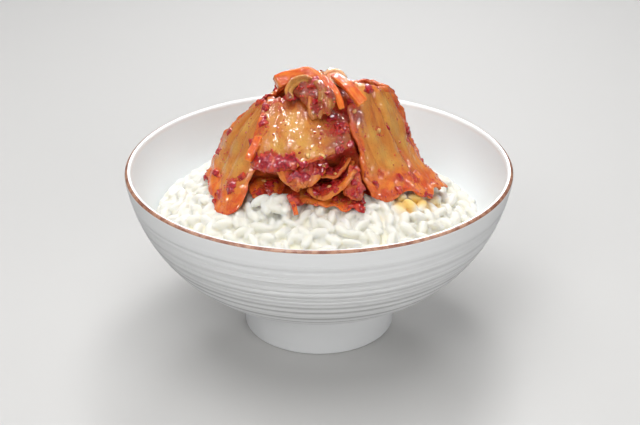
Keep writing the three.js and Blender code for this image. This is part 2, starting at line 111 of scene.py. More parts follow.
LEAVES = {
    "leaf_right": dict(
        left=[[10.6, 1, 81], [9, -8, 75.2], [11.7, -13, 63.4], [15.6, -16.5, 50.6]],
        right=[[21.3, 8, 76.8], [27.7, 11, 64.2], [31.5, 10, 52.8], [41.9, 3.7, 44.6]], thick=2.2,
        crown=2.5, ribs=3, rib=0.2, foot=0.03, lobes=2, ragged=0.03, cells=(150, 120), tone_and_light=0.1,
        stripes=0.6, scattered=5, leafy=(2, 5, 1.5, 7), red=(0.4, 0.5, 0.2, 0.35), lips=(0.5, 0, 0, 0),
        lip_width=0.8,
        creases=[([(0.2, 0.43), (0.4, 0.48), (0.55, 0.6), (0.8, 0.62)], 0.9, 1.3),
                 ([(0.3, 0.12), (0.6, 0.14), (0.85, 0.2)], 0.35, 0.9)],
        spots=[(0.42, 0.87, 2.6, 1), (0.52, 0.86, 2.2, 0.9), (0.48, 0.3, 3, 0.5), (0.86, 0.09, 1.3, 1),
               (0.8, 0.17, 1.6, 0.6), (0.88, 0.37, 2.2, 0.8), (0.85, 0.56, 2.2, 0.8),
               (0.15, 0.95, 3, 0.6), (0.97, 0.2, 3, 0.5), (0.75, 0.97, 3, 0.9)],
        haze_and_shade=[(0.34, 0.07, 4.5, 0.9), (0.42, 0.13, 3, 0.5), (0.6, 0.5, 3, 0.3)],
        light=[(0.2, 0.6, 4), (0.38, 0.62, 4), (0.52, 0.72, 3), (0.5, 0.25, 3), (0.65, 0.3, 3),
               (0.75, 0.35, 2.5)],
        clumps=[(0.43, 0.9, 1.5, 7), (0.86, 0.09, 0.7, 4), (0.88, 0.38, 0.8, 3), (0.2, 0.02, 1.4, 6),
                (0.7, 0.985, 0.9, 4), (0.98, 0.6, 0.8, 3), (0.06, 0.3, 1.6, 8)], seed=3),
    "leaf_left": dict(
        left=[[-17.1, 2, 74.8], [-28.3, 9, 62.7], [-32.5, 11, 53.8], [-36.8, 8.5, 46.2]],
        right=[[-11.7, -5, 77.2], [-16.4, -11, 67.4], [-19.8, -14.8, 58.6], [-23.6, -19.8, 49.6]],
        thick=2, crown=2.4, ribs=2, rib=0.12, foot=0.08, lobes=1, ragged=-0.1, cells=(140, 90), tone_and_light=0.12,
        stripes=0.35, scattered=4, leafy=(4.5, 0.5, 1, 7), red=(0.45, 0.2, 0.5, 0.45),
        creases=[([(0.15, 0.4), (0.5, 0.42), (0.8, 0.45)], 0.6, 1.8),
                 ([(0.3, 0.7), (0.7, 0.68)], 0.3, 1.6)],
        spots=[(0.03, 0.3, 3, 1), (0.35, 0.22, 2, 1), (0.63, 0.2, 2.2, 1), (0.88, 0.67, 2, 0.9),
               (0.77, 0.79, 2.4, 0.9), (0.7, 0.9, 2, 0.8), (1, 0.35, 2.5, 0.8), (1, 0.1, 2, 0.9)],
        haze_and_shade=[(0.62, 0.8, 3, 0.4), (0.2, 0.75, 3, 0.4)],
        light=[(0.25, 0.55, 3), (0.45, 0.55, 3.5), (0.6, 0.75, 3), (0.68, 0.5, 3)],
        clumps=[(0.03, 0.3, 1.6, 12), (0.35, 0.22, 1.1, 7), (0.63, 0.2, 1.3, 9), (0.88, 0.62, 0.9, 5),
                (0.97, 0.6, 0.7, 4), (0.77, 0.79, 1.3, 8), (0.7, 0.88, 1.1, 6), (1, 0.12, 0.8, 4)],
        seed=5),
    "leaf_front": dict(
        left=[[-15.4, -2, 77.4], [-17.9, -9, 72.4], [-20.5, -14, 66.8], [-20.2, -17, 61]],
        right=[[6.6, -7, 74.2], [8.4, -10, 72.2], [9.2, -13, 70.2], [10.1, -15.5, 67.4]], thick=1.8,
        crown=4.5, ribs=2, rib=0.1, foot=0.22, tear=0.3, wrinkle=0.8, cells=(120, 150), tone_and_light=0.05,
        stripes=0.5, slant=0.6, leafy=(2, 1, 2.5, 0.6), red=(0.35, 0.35, 0.3, 0.2),
        lips=(0, 0.3, 0, 0.35),
        creases=[([(0.2, 0.3), (0.6, 0.27), (0.9, 0.33)], 0.5, 1.6),
                 ([(0.5, 0.62), (0.85, 0.72)], 0.4, 1.5)],
        spots=[(0.5, 0.86, 5, 0.75), (0.25, 0.8, 4.5, 0.7), (0.86, 0.22, 4, 1), (0.94, 0.36, 3, 0.9),
               (0.9, 0.1, 3, 0.8), (0.1, 0.15, 3.5, 0.5), (0.45, 0.1, 3, 0.6), (0.7, 0.9, 3, 0.5)],
        haze_and_shade=[(0.45, 0.92, 9, 1), (0.2, 0.8, 8, 1), (0.02, 0.35, 5, 0.8), (0.85, 0.9, 6, 0.9),
              (0.5, 0.1, 4, 0.4), (0.15, 0.1, 5, 0.5), (0.7, 0.8, 4, 0.5), (0.5, 0.5, 14, 0.5),
              (0.8, 0.6, 5, 0.6)],
        light=[(0.3, 0.38, 3), (0.45, 0.45, 3.5), (0.62, 0.52, 3.5), (0.8, 0.6, 2.5), (0.65, 0.3, 3)],
        clumps=[(0.84, 0.18, 2.2, 44), (0.88, 0.3, 2.2, 44), (0.92, 0.08, 1.8, 26), (0.94, 0.4, 1.3, 14),
                (0.8, 0.42, 1.1, 8), (0.35, 0.06, 1.2, 8), (0.45, 0.9, 1.5, 8), (0.3, 0.82, 1.3, 7),
                (0.97, 0.2, 2, 30), (0.93, 0.97, 1.2, 12), (0.99, 0.52, 0.9, 9), (1, 0.7, 0.9, 8),
                (0.98, 0.85, 1, 10), (0.15, 0.02, 1.4, 12), (0.6, 0.9, 1, 8), (0.72, 0.02, 1, 9),
                (0.6, 0, 0.8, 6)], seed=7),
    "fold_left": dict(
        left=[[-12.4, -17, 64.2], [-12.1, -19.5, 60.8], [-10, -21, 58.3], [-6.5, -22, 56.8]],
        right=[[2.1, -17, 64.2], [1.2, -20, 61], [-1.2, -21.5, 58.8], [-4.4, -22.2, 56.9]], thick=1.7,
        crown=2.2, tear=1.2, wrinkle=3, cells=(70, 80), tone_and_light=0.4, chilli=0.3, leafy=(0.8, 0.8, 0, 0.8),
        red=(0.2, 0, 0.5, 0), lips=(0.7, 1, 0, 0.8), creases=[([(0.3, 0.3), (0.5, 0.7)], 0.5, 1.3)],
        spots=[(0.45, 0.5, 3, 0.9), (0.45, 0.25, 1.6, 0.8), (0.1, 0.2, 3, 0.9), (0.3, 0.8, 2.4, 0.9)],
        haze_and_shade=[(0.3, 0.7, 3.5, 0.6)],
        clumps=[(0.05, 0.05, 1.4, 14), (0.45, 0.4, 1.4, 9), (0.02, 0.35, 1, 8), (0.05, 0.7, 1.3, 14),
                (0.1, 0.95, 1.1, 10), (0.5, 0.7, 1.2, 8), (0.3, 0.85, 1.2, 12), (0.6, 0.2, 0.8, 5)],
        seed=9),
    "fold_right": dict(
        left=[[-3.5, -21, 56], [0.6, -22.5, 53.7], [7.1, -21.5, 57.8], [11.6, -18, 62.1]],
        right=[[-2.4, -13, 55.2], [1.2, -14, 54.3], [6.3, -13, 56.5], [9.3, -11, 60.6]], thick=1.6,
        crown=-0.8, tear=1.4, wrinkle=2.4, cells=(90, 50), tone_and_light=0.5, chilli=0.3, leafy=(1.2, 0, 0, 0.5),
        red=(0, 1, 0.2, 0.2), lips=(0.9, 0, 0.5, 0.6), lip_width=0.8,
        spots=[(0.3, 0.6, 5, 1), (0.6, 0.6, 5, 1)], haze_and_shade=[(0.5, 0.4, 4, 0.8)],
        clumps=[(0.2, 0.5, 1.5, 16), (0.4, 0.55, 1.5, 16), (0.75, 0.6, 1.2, 9), (0.55, 0.5, 1.2, 10),
                (0.15, 0.1, 0.9, 6), (0.55, 0.05, 0.6, 4)], seed=11),
    "fold_inner": dict(
        left=[[0.9, -18.5, 59.4], [4.5, -19.5, 59.2], [7.6, -19, 61.2], [8.9, -16.5, 63.6]],
        right=[[2.1, -12, 58.8], [4.2, -13, 59], [6.4, -13, 61], [7.4, -11, 62.4]], thick=1.3, crown=-0.8,
        tear=1.2, wrinkle=2.4, cells=(70, 36), tone_and_light=0.5, chilli=0.3, leafy=(1.2, 0, 0, 0),
        red=(0, 1, 0.3, 0.3), lips=(0.8, 0, 0.6, 0.6), lip_width=0.5, spots=[(0.5, 0.6, 5, 0.9)],
        haze_and_shade=[(0.5, 0.3, 3, 0.6)], clumps=[(0.5, 0.5, 1.2, 9), (0.15, 0.4, 1.3, 14), (0.9, 0.5, 1, 8)],
        seed=13),
    "fold_side": dict(
        left=[[8.9, -16.5, 61.4], [8.3, -18.5, 58.4], [8, -19.5, 55.6], [8.3, -20, 52.9]],
        right=[[11.4, -15, 60.1], [12.2, -17.5, 57.3], [13.1, -18.5, 54.5], [12.6, -19, 51.4]], thick=1.4,
        crown=1.2, tear=1.4, wrinkle=3, cells=(60, 36), tone_and_light=0.6, chilli=0.3, leafy=(0.8, 0.8, 0, 1),
        red=(0.3, 0.6, 0.8, 0.6), lips=(0.5, 0.3, 0, 0.3), lip_width=0.6,
        creases=[([(0.2, 0.4), (0.9, 0.5)], 0.6, 0.8)], spots=[(0.8, 0.4, 2, 0.9), (0.15, 0.5, 2, 1)],
        haze_and_shade=[(0.5, 0.5, 3, 0.5)],
        clumps=[(0.85, 0.4, 0.9, 8), (0.1, 0.5, 1, 8), (0.45, 0.4, 0.9, 8), (0.65, 0.7, 0.8, 6)], seed=29),
    "leaf_base": dict(
        left=[[-8.4, -11, 52.9], [-9.1, -14.5, 52.3], [-9.6, -18, 51.8], [-9.2, -20.8, 51]],
        right=[[13, -8, 52], [13.6, -12, 51.4], [13.8, -16, 50.6], [13.2, -22.2, 50]], thick=1.4,
        crown=0.5, ribs=3, rib=0.2, foot=0.05, lobes=3, ragged=0.06, cells=(70, 110), tone_and_light=0.3,
        leafy=(2, 3, 0, 1.5), red=(0.7, 0.9, 0.4, 0.4),
        spots=[(0.95, 0.95, 4, 1), (0.7, 0.05, 4, 0.9), (0.6, 0.5, 3, 0.7), (0.8, 0.75, 2, 0.8)],
        haze_and_shade=[(0.5, 0.7, 5, 0.7)],
        clumps=[(0.97, 0.93, 1.9, 30), (0.9, 0.03, 1.9, 26), (0.98, 0.1, 1.2, 10), (0.8, 0.6, 1, 6),
                (0.6, 0.3, 1.5, 10), (0.75, 0.98, 1.2, 9)], seed=15),
    "leaf_base_left": dict(
        left=[[-20.5, -9, 54], [-21, -12.5, 53.4], [-20.8, -15.5, 52.8], [-19.8, -18.2, 51.6]],
        right=[[-9.6, -11, 53.4], [-10.2, -14, 53.2], [-10.8, -16, 52.9], [-11.4, -17.5, 52]], thick=1.2,
        crown=0.5, ribs=2, rib=0.15, foot=0.05, lobes=1, ragged=0.08, cells=(44, 50), tone_and_light=0.6,
        leafy=(2, 2, 0, 2), red=(0.5, 0.5, 0.4, 0.6), spots=[(0.6, 0.5, 3, 0.9)],
        clumps=[(0.3, 0.6, 1.5, 12), (0.7, 0.3, 1.2, 8)], seed=17),
    "leaf_tip": dict(
        left=[[1.1, 2.4, 81.6], [2.7, 3.5, 84.4], [5.8, 4, 84.2], [8.8, 3, 81.4]],
        right=[[2.1, -3, 80.8], [4.5, -3, 82.6], [6.8, -3, 82.4], [8.6, -2, 80.6]], thick=1.6, crown=0.8,
        ribs=2, rib=0.3, tear=0.6, cells=(60, 50), leafy=(0.5, 0.5, 0, 0), red=(0, 0.3, 0, 0),
        lips=(1, 1, 1, 1), seed=19),
    "leaf_crown": dict(
        left=[[2, -0.5, 83.2], [3.5, 5, 82.4], [5, 9.5, 78.6], [6, 12.5, 74]],
        right=[[-8.5, -0.5, 82.4], [-11.5, 4, 80.2], [-14, 8, 76.2], [-15.5, 10.5, 71.5]], thick=1.6,
        crown=1.5, ribs=3, rib=0.15, foot=0.06, lobes=2, ragged=0.06, wrinkle=1.5, cells=(70, 80),
        tone_and_light=0.3, scattered=8, leafy=(2, 2, 1, 4), red=(0.5, 0.5, 0.4, 0.6), lips=(0.2, 0.2, 0, 0),
        creases=[([(0.1, 0.5), (0.7, 0.55)], 0.5, 1.3)], haze_and_shade=[(0.6, 0.3, 4, 0.5)], seed=21),
    "leaf_back_right": dict(
        left=[[21.5, 9.5, 76.4], [26.6, 15, 66], [29.5, 15.5, 55], [36, 11.5, 45.2]],
        right=[[10, 5.5, 80], [15, 20, 66.5], [18.5, 24.5, 55], [21.5, 27, 46.8]], thick=2, crown=2.2,
        ribs=3, rib=0.15, foot=0.06, lobes=2, ragged=0.04, wrinkle=1.5, cells=(120, 80), tone_and_light=0.2,
        scattered=16, leafy=(3, 1.5, 1.5, 7), red=(0.4, 0.3, 0.3, 0.5), lips=(0.3, 0.6, 0, 0),
        creases=[([(0.2, 0.5), (0.8, 0.55)], 0.6, 1.4)], haze_and_shade=[(0.3, 0.3, 5, 0.5), (0.7, 0.6, 5, 0.5)],
        light=[(0.4, 0.7, 4), (0.6, 0.3, 4)], seed=23),
    "leaf_back": dict(
        left=[[12, 2.5, 80.6], [15.5, 16.5, 69], [17.5, 21.5, 58], [19, 26.5, 47.6]],
        right=[[-6.5, 3, 80.6], [-9.5, 18.5, 69], [-11.5, 23.5, 58], [-13.5, 27.5, 47.6]], thick=2.2,
        crown=3, ribs=4, rib=0.15, foot=0.04, lobes=3, ragged=0.04, wrinkle=1.5, cells=(130, 110),
        tone_and_light=0.1, scattered=20, leafy=(2, 2, 1.5, 7), red=(0.4, 0.4, 0.4, 0.5), lips=(0.6, 0.6, 0, 0),
        creases=[([(0.2, 0.35), (0.8, 0.3)], 0.6, 1.4), ([(0.3, 0.7), (0.9, 0.66)], 0.5, 1.4)],
        haze_and_shade=[(0.4, 0.5, 7, 0.5), (0.15, 0.2, 5, 0.6), (0.75, 0.85, 5, 0.6)],
        light=[(0.35, 0.25, 4), (0.55, 0.7, 5), (0.7, 0.4, 4)], seed=25),
    "leaf_back_left": dict(
        left=[[-4, 6, 79.4], [-8, 17.5, 68], [-11, 22.5, 56.5], [-13.5, 28, 47]],
        right=[[-15.8, 4, 75.4], [-26, 11.8, 63.6], [-31, 15.2, 53.8], [-36, 14.2, 45.4]], thick=1.9,
        crown=2.2, ribs=3, rib=0.15, foot=0.08, lobes=2, ragged=0.05, wrinkle=1.5, cells=(120, 90),
        tone_and_light=0.25, scattered=18, leafy=(1.5, 4, 1.5, 7), red=(0.3, 0.5, 0.3, 0.5), lips=(0.6, 0, 0, 0),
        creases=[([(0.2, 0.5), (0.85, 0.45)], 0.6, 1.4)], haze_and_shade=[(0.5, 0.3, 5, 0.5), (0.2, 0.8, 5, 0.6)],
        light=[(0.4, 0.6, 4), (0.7, 0.4, 4)], seed=27),
}

# The crumpled heart of leaf on top
CURL = {
    "loop": dict(
        left=[[-8.9, -9, 79.5], [-9.8, -7.5, 82.4], [-8, -6, 84.9], [-4.1, -5.5, 85.8], [-0.3, -6, 84.6]],
        right=[[-7.4, -8, 80], [-7.7, -6.5, 81.3], [-6.5, -5.5, 82.7], [-3.9, -5, 83.1],
               [-1.2, -5.5, 82.5]], thick=1.2, crown=0.7, wrinkle=3, cells=(90, 30), chilli=0.2,
        lips=(0.3, 0.5, 0.3, 0), lip_width=0.4, spots=[(0.08, 0.3, 1.5, 0.9), (0.95, 0.5, 2, 0.9)],
        haze_and_shade=[(0.5, 0.1, 1.2, 0.5)], light=[(0.3, 0.5, 3), (0.65, 0.5, 3)],
        clumps=[(0.02, 0.5, 0.9, 10), (0.97, 0.5, 0.8, 8)], seed=61),
    "hollow": dict(
        left=[[-7.8, -3, 82.2], [-7.7, -5.5, 80.5], [-5.3, -8, 79.1], [-2.6, -9.5, 77.2]],
        right=[[-0.9, -3.5, 84.4], [1.8, -6.5, 83.6], [3.6, -9, 81.7], [4.1, -11, 79]], thick=1.5,
        crown=0.9, wrinkle=3.6, cells=(90, 84), tone_and_light=0.5, chilli=0.6, lips=(0.3, 0, 0, 0), lip_width=0.4,
        spots=[(0.3, 0.5, 4, 0.9), (0.7, 0.5, 4, 0.8), (0.5, 0.85, 3, 0.7)],
        haze_and_shade=[(0.3, 0.2, 4, 1), (0.7, 0.5, 4, 0.6)],
        clumps=[(0.35, 0.6, 1.2, 4), (0.6, 0.75, 1.1, 3), (0.2, 0.85, 1, 6)], seed=63),
    "ribbon": dict(
        left=[[-1.2, -6.5, 84.2], [0.3, -8.6, 83.2], [0.6, -10.4, 81.6], [0.3, -11.6, 79.8]],
        right=[[0.2, -6.5, 84.6], [1.6, -9.2, 83.4], [1.9, -11, 81.6], [1.4, -12.2, 79.8]], thick=1,
        crown=0.6, wrinkle=2.6, cells=(60, 20), tone_and_light=0.1, chilli=0.45, lips=(0.6, 0.6, 0.2, 0),
        lip_width=0.35, spots=[(0.3, 0.5, 1.2, 0.8)], seed=64),
    "left_lobe": dict(
        left=[[-2.9, -9.5, 81.2], [-3.3, -12, 79.5], [-2.8, -13.5, 77.2], [-1.8, -14, 75.6]],
        right=[[0.4, -10, 81.1], [1.2, -12, 79.7], [0.9, -13.3, 77.5], [0, -14, 75.8]], thick=1.2,
        crown=-1.3, wrinkle=2.6, cells=(70, 56), tone_and_light=0.4, chilli=0.5, lips=(1, 0.8, 0, 1),
        lip_width=0.55, spots=[(0.55, 0.5, 1.6, 1), (0.2, 0.5, 1.6, 0.8)], haze_and_shade=[(0.6, 0.5, 2, 1)],
        clumps=[(0.15, 0.5, 0.8, 3)], seed=65),
    "right_lobe": dict(
        left=[[0.9, -8, 83.5], [0.5, -11, 81.8], [0.8, -13, 79.6], [1.6, -13.8, 77]],
        right=[[3.6, -9, 82.5], [4.8, -11.5, 81.2], [4.8, -13, 79], [3.8, -13.8, 76.7]], thick=1.4,
        crown=1.2, wrinkle=3.2, cells=(80, 60), tone_and_light=0.5, chilli=0.55, lips=(0.6, 0.4, 0, 0.9),
        lip_width=0.5, spots=[(0.35, 0.5, 1.8, 0.8), (0.7, 0.3, 1.4, 0.8)], haze_and_shade=[(0.3, 0.7, 2.5, 0.8)],
        clumps=[(0.3, 0.5, 0.9, 3)], seed=67),
}

# Carrot strips: the middle line, width and depth at both ends, the side that the width lies along
STRIPS = {
    "carrot_long": dict(
        path=[[-12.8, -4, 82.9], [-10.4, -3, 83.8], [-6.9, -2, 84.7], [-3.3, -2.3, 85.5], [0, -4.5, 84.7],
              [3.3, -7.5, 83.3], [5.6, -10, 80.8], [6.8, -12, 77.8]], start=(4.2, 4.4), end=(2.4, 2),
        across=(0, -1, 0.5), chilli=0.15, rough=1.4, seed=41),
    "carrot_short": dict(
        path=[[4.5, -1, 84.2], [6.9, -4.5, 83.6], [9.8, -7.8, 82], [13.1, -10.2, 78.8]], start=(2.6, 1.8),
        end=(3.6, 1.9), across=(1, 0.4, 0.2), chilli=0.1, rough=1.4, seed=43),
    "carrot_side": dict(
        path=[[-17.8, -13.5, 69.5], [-18.6, -15.5, 67.8], [-19.9, -17, 65.8], [-20.9, -18.3, 63.8]],
        start=(3, 1.7), end=(2, 1.4), across=(0.85, 0, 0.45), chilli=0.4, rough=2, seed=47),
    "carrot_shred": dict(
        path=[[-8.9, -22, 54.2], [-7.8, -23.2, 52.8], [-7, -24.4, 51], [-6.6, -25.4, 49.6]],
        start=(1.8, 1.4), end=(1.5, 1.1), across=(1, 0, 0), chilli=0.55, rough=3.5, seed=45),
}

# Where juice has run into the rice: x, y, radius in mm, strength
JUICE = [(26, -14, 5, 1.0), (31, -9, 5, 1.0), (35, -3, 4, 0.8), (-31, -3, 4, 0.6), (3, -27, 3, 0.4),
         (-24, -18, 3, 0.5), (18, -21, 3, 0.5), (-30, -24, 3, 0.4), (-20, 30, 4, 0.6),
         (8, 31, 4, 0.6), (28, 24, 4, 0.6)]

# Single seeds that the photo shows: leaf, u, v
SEEN_SEEDS = [("fold_left", 0.2, 0.93), ("leaf_front", 0.97, 0.7), ("leaf_right", 0.46, 0.33),
              ("fold_inner", 0.4, 0.3), ("leaf_base_left", 0.2, 0.4), ("leaf_base", 0.9, 0.08),
              ("leaf_front", 0.84, 0.13), ("leaf_front", 0.9, 0.33)]

# ------------ numbers


def smooth(low, high, x):
    """0 at low, 1 at high, and a soft step between them."""
    t = np.clip((x - low) / (high - low), 0, 1)
    return t * t * (3 - 2 * t)


def unit(a):
    return a / (np.linalg.norm(a, axis=-1, keepdims=True) + 1e-12)


def lattice(ix, iy, iz, seed):
    """A random value from -1 to 1 for each whole-number place."""
    h = (ix * 374761393 + iy * 668265263 + iz * 1274126177 + seed * 974634777) & 0xFFFFFFFF
    h = ((h ^ (h >> 13)) * 1103515245) & 0xFFFFFFFF
    return ((h ^ (h >> 16)) & 0xFFFF) / 32767.5 - 1


def noise(p, size, seed=0):
    """Smooth random values from -1 to 1 at the points p, with bumps about `size` across."""
    q = np.asarray(p, float) / size
    cell = np.floor(q).astype(np.int64)
    f = q - cell
    f = f * f * (3 - 2 * f)
    total = 0
    for dx, dy, dz in np.ndindex(2, 2, 2):
        weight = np.abs(1 - dx - f[..., 0]) * np.abs(1 - dy - f[..., 1])
        weight = weight * np.abs(1 - dz - f[..., 2])
        corner = lattice(cell[..., 0] + dx, cell[..., 1] + dy, cell[..., 2] + dz, seed)
        total = total + weight * corner
    return total


def layers(p, seed, *rows):
    """A sum of noises, one for each row (strength, size, and maybe a scale of x, y and z)."""
    total = 0
    for k, (strength, size, *scale) in enumerate(rows):
        total = total + strength * noise(p * scale[0] if scale else p, size, seed + k)
    return total


def through_points(points, t):
    """A Catmull-Rom curve through the points, t from 0 to 1, carried on straight outside."""
    p = np.asarray(points, float)
    p = np.vstack([2 * p[0] - p[1], p, 2 * p[-1] - p[-2]])
    inside = np.clip(t, 0, 1)
    spans = len(points) - 1
    place = inside * spans
    i = np.clip(np.floor(place).astype(int), 0, spans - 1)
    w = (place - i)[..., None]
    a, b, c, d = p[i], p[i + 1], p[i + 2], p[i + 3]
    square, cube = 2 * a - 5 * b + 4 * c - d, 3 * b - a - 3 * c + d
    value = 0.5 * (2 * b + (c - a) * w + square * w ** 2 + cube * w ** 3)
    slope = 0.5 * ((c - a) + 2 * square * w + 3 * cube * w ** 2) * spans
    return value + slope * (t - inside)[..., None]


def rice_height(x, y):
    r = np.hypot(x, y) / RICE_EDGE_RADIUS
    return RICE_TOP - (RICE_TOP - RICE_EDGE_Z) * r ** 2.2 + RICE_TILT * x / RICE_EDGE_RADIUS


def rotation(axis, angle):
    """Rotation matrices about unit axes, one for each row."""
    axis = unit(axis)
    c, s = np.cos(angle)[:, None, None], np.sin(angle)[:, None, None]
    x, y, z = axis.T
    o = np.zeros(len(x))
    cross = np.stack([o, -z, y, z, o, -x, -y, x, o], -1).reshape(-1, 3, 3)
    outer = axis[:, :, None] * axis[:, None, :]
    return np.eye(3) * c + cross * s + outer * (1 - c)


def spin(axis, angles):
    """Rotations about one and the same axis."""
    return rotation(np.tile(np.array(axis, float), (len(angles), 1)), angles)


def lean_to(normals):
    """Rotations that tip the z axis over to the normals."""
    axis = np.cross([0, 0, 1.0], normals) + 1e-6
    return rotation(axis, np.arccos(np.clip(normals[:, 2], -1, 1)))


# ------------ meshes


def set_masks(mesh, masks):
    for key, values in masks.items():
        layer = mesh.attributes.new(key, "FLOAT", "POINT")
        layer.data.foreach_set("value", np.asarray(values, np.float32).ravel())


def make_object(name, points, faces, material, masks=None, fibre=None, stands_for=None):
    """A piece from points in mm and groups of faces, with masks and fibres for its material."""
    mesh = bpy.data.meshes.new(name)
    points = np.asarray(points, np.float32) * MM
    groups = [np.asarray(g, np.int32) for g in (faces if isinstance(faces, list) else [faces])]
    sizes = np.concatenate([np.full(len(g), g.shape[1], np.int32) for g in groups])
    corners = np.concatenate([g.ravel() for g in groups])
    mesh.vertices.add(len(points))
    mesh.vertices.foreach_set("co", points.ravel())
    mesh.loops.add(len(corners))
    mesh.loops.foreach_set("vertex_index", corners)
    mesh.polygons.add(len(sizes))
    mesh.polygons.foreach_set("loop_start", (np.cumsum(sizes) - sizes).astype(np.int32))
    mesh.update(calc_edges=True)
    mesh.polygons.foreach_set("use_smooth", np.ones(len(sizes), bool))
    set_masks(mesh, masks or {})
    if fibre is not None:
        layer = mesh.attributes.new("fibre", "FLOAT_VECTOR", "POINT")
        layer.data.foreach_set("vector", (np.asarray(fibre) * MM).astype(np.float32).ravel())
    mesh.materials.append(material)
    mesh.update()
    piece = bpy.data.objects.new(name, mesh)
    bpy.context.scene.collection.objects.link(piece)
    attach(piece, "root")
    if stands_for:
        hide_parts(stands_for)
    return piece


def weld(piece):
    """Joins points that fall together, such as the middle of a strip's end."""
    bm = bmesh.new()
    bm.from_mesh(piece.data)
    bmesh.ops.remove_doubles(bm, verts=bm.verts, dist=0.005 * MM)
    bmesh.ops.dissolve_degenerate(bm, dist=0.001 * MM, edges=bm.edges)
    bmesh.ops.recalc_face_normals(bm, faces=bm.faces)
    bm.to_mesh(piece.data)
    bm.free()


def melt(piece, voxel, rounds, most):
    """Fuses a piece's lumps into one skin of cells `voxel` mm across, of at most `most` triangles."""
    fuse = piece.modifiers.new("fuse", "REMESH")
    fuse.mode = "VOXEL"
    fuse.voxel_size = voxel * MM
    even = piece.modifiers.new("even", "SMOOTH")
    even.factor = 0.5
    even.iterations = rounds
    bpy.context.view_layer.update()
    graph = bpy.context.evaluated_depsgraph_get()
    count = 2 * len(piece.evaluated_get(graph).data.polygons)
    if count > most:
        fewer = piece.modifiers.new("fewer", "DECIMATE")
        fewer.ratio = most / count
        bpy.context.view_layer.update()
        graph = bpy.context.evaluated_depsgraph_get()
    material = piece.data.materials[0]
    done = bpy.data.meshes.new_from_object(piece.evaluated_get(graph))
    piece.modifiers.clear()
    piece.data = done
    done.polygons.foreach_set("use_smooth", np.ones(len(done.polygons), bool))
    if not done.materials:
        done.materials.append(material)


def grid_faces(rows, columns):
    i, j = np.meshgrid(np.arange(rows), np.arange(columns), indexing="ij")
    a = i * (columns + 1) + j
    return np.stack([a, a + columns + 1, a + columns + 2, a + 1], -1).reshape(-1, 4)


def tube_faces(rows, columns):
    """The faces between closed rings, each of `columns` points."""
    i, j = np.meshgrid(np.arange(rows), np.arange(columns), indexing="ij")
    a, b = i * columns + j, i * columns + (j + 1) % columns
    return np.stack([a, b, b + columns, a + columns], -1).reshape(-1, 4)


def ball(columns, rows, twist=0.0):
    """A coarse ball: its points as angles from the pole and around it, and its triangles."""
    i, j = np.meshgrid(np.arange(1, rows), np.arange(columns), indexing="ij")
    polar = np.concatenate([[0], (math.pi * i / rows).ravel(), [math.pi]])
    around = np.concatenate([[0], (TAU * (j + twist * (i % 2)) / columns).ravel(), [0]])
    last = len(polar) - 1
    faces = []
    for j in range(columns):
        k = (j + 1) % columns
        faces += [[0, 1 + k, 1 + j], [last, last - columns + j, last - columns + k]]
        for row in range(1, last - columns, columns):
            a, b = row + j, row + k
            faces += [[a, b + columns, a + columns], [a, b, b + columns]]
    return polar, around, np.array(faces)


def copies(shapes, faces, turns, places):
    """Points and faces of many lumps, each a shape that is turned and put in its place."""
    points = np.einsum("nij,nkj->nki", turns, shapes) + places[:, None]
    starts = np.arange(len(places)) * shapes.shape[1]
    return points.reshape(-1, 3), (faces + starts[:, None, None]).reshape(-1, 3)


# ------------ materials


def colour(rgb):
    """An sRGB colour, 0 to 255, as Blender's linear one."""
    linear = [(c / 255 / 12.92) if c <= 10 else ((c / 255 + 0.055) / 1.055) ** 2.4 for c in rgb]
    return (*linear, 1.0)


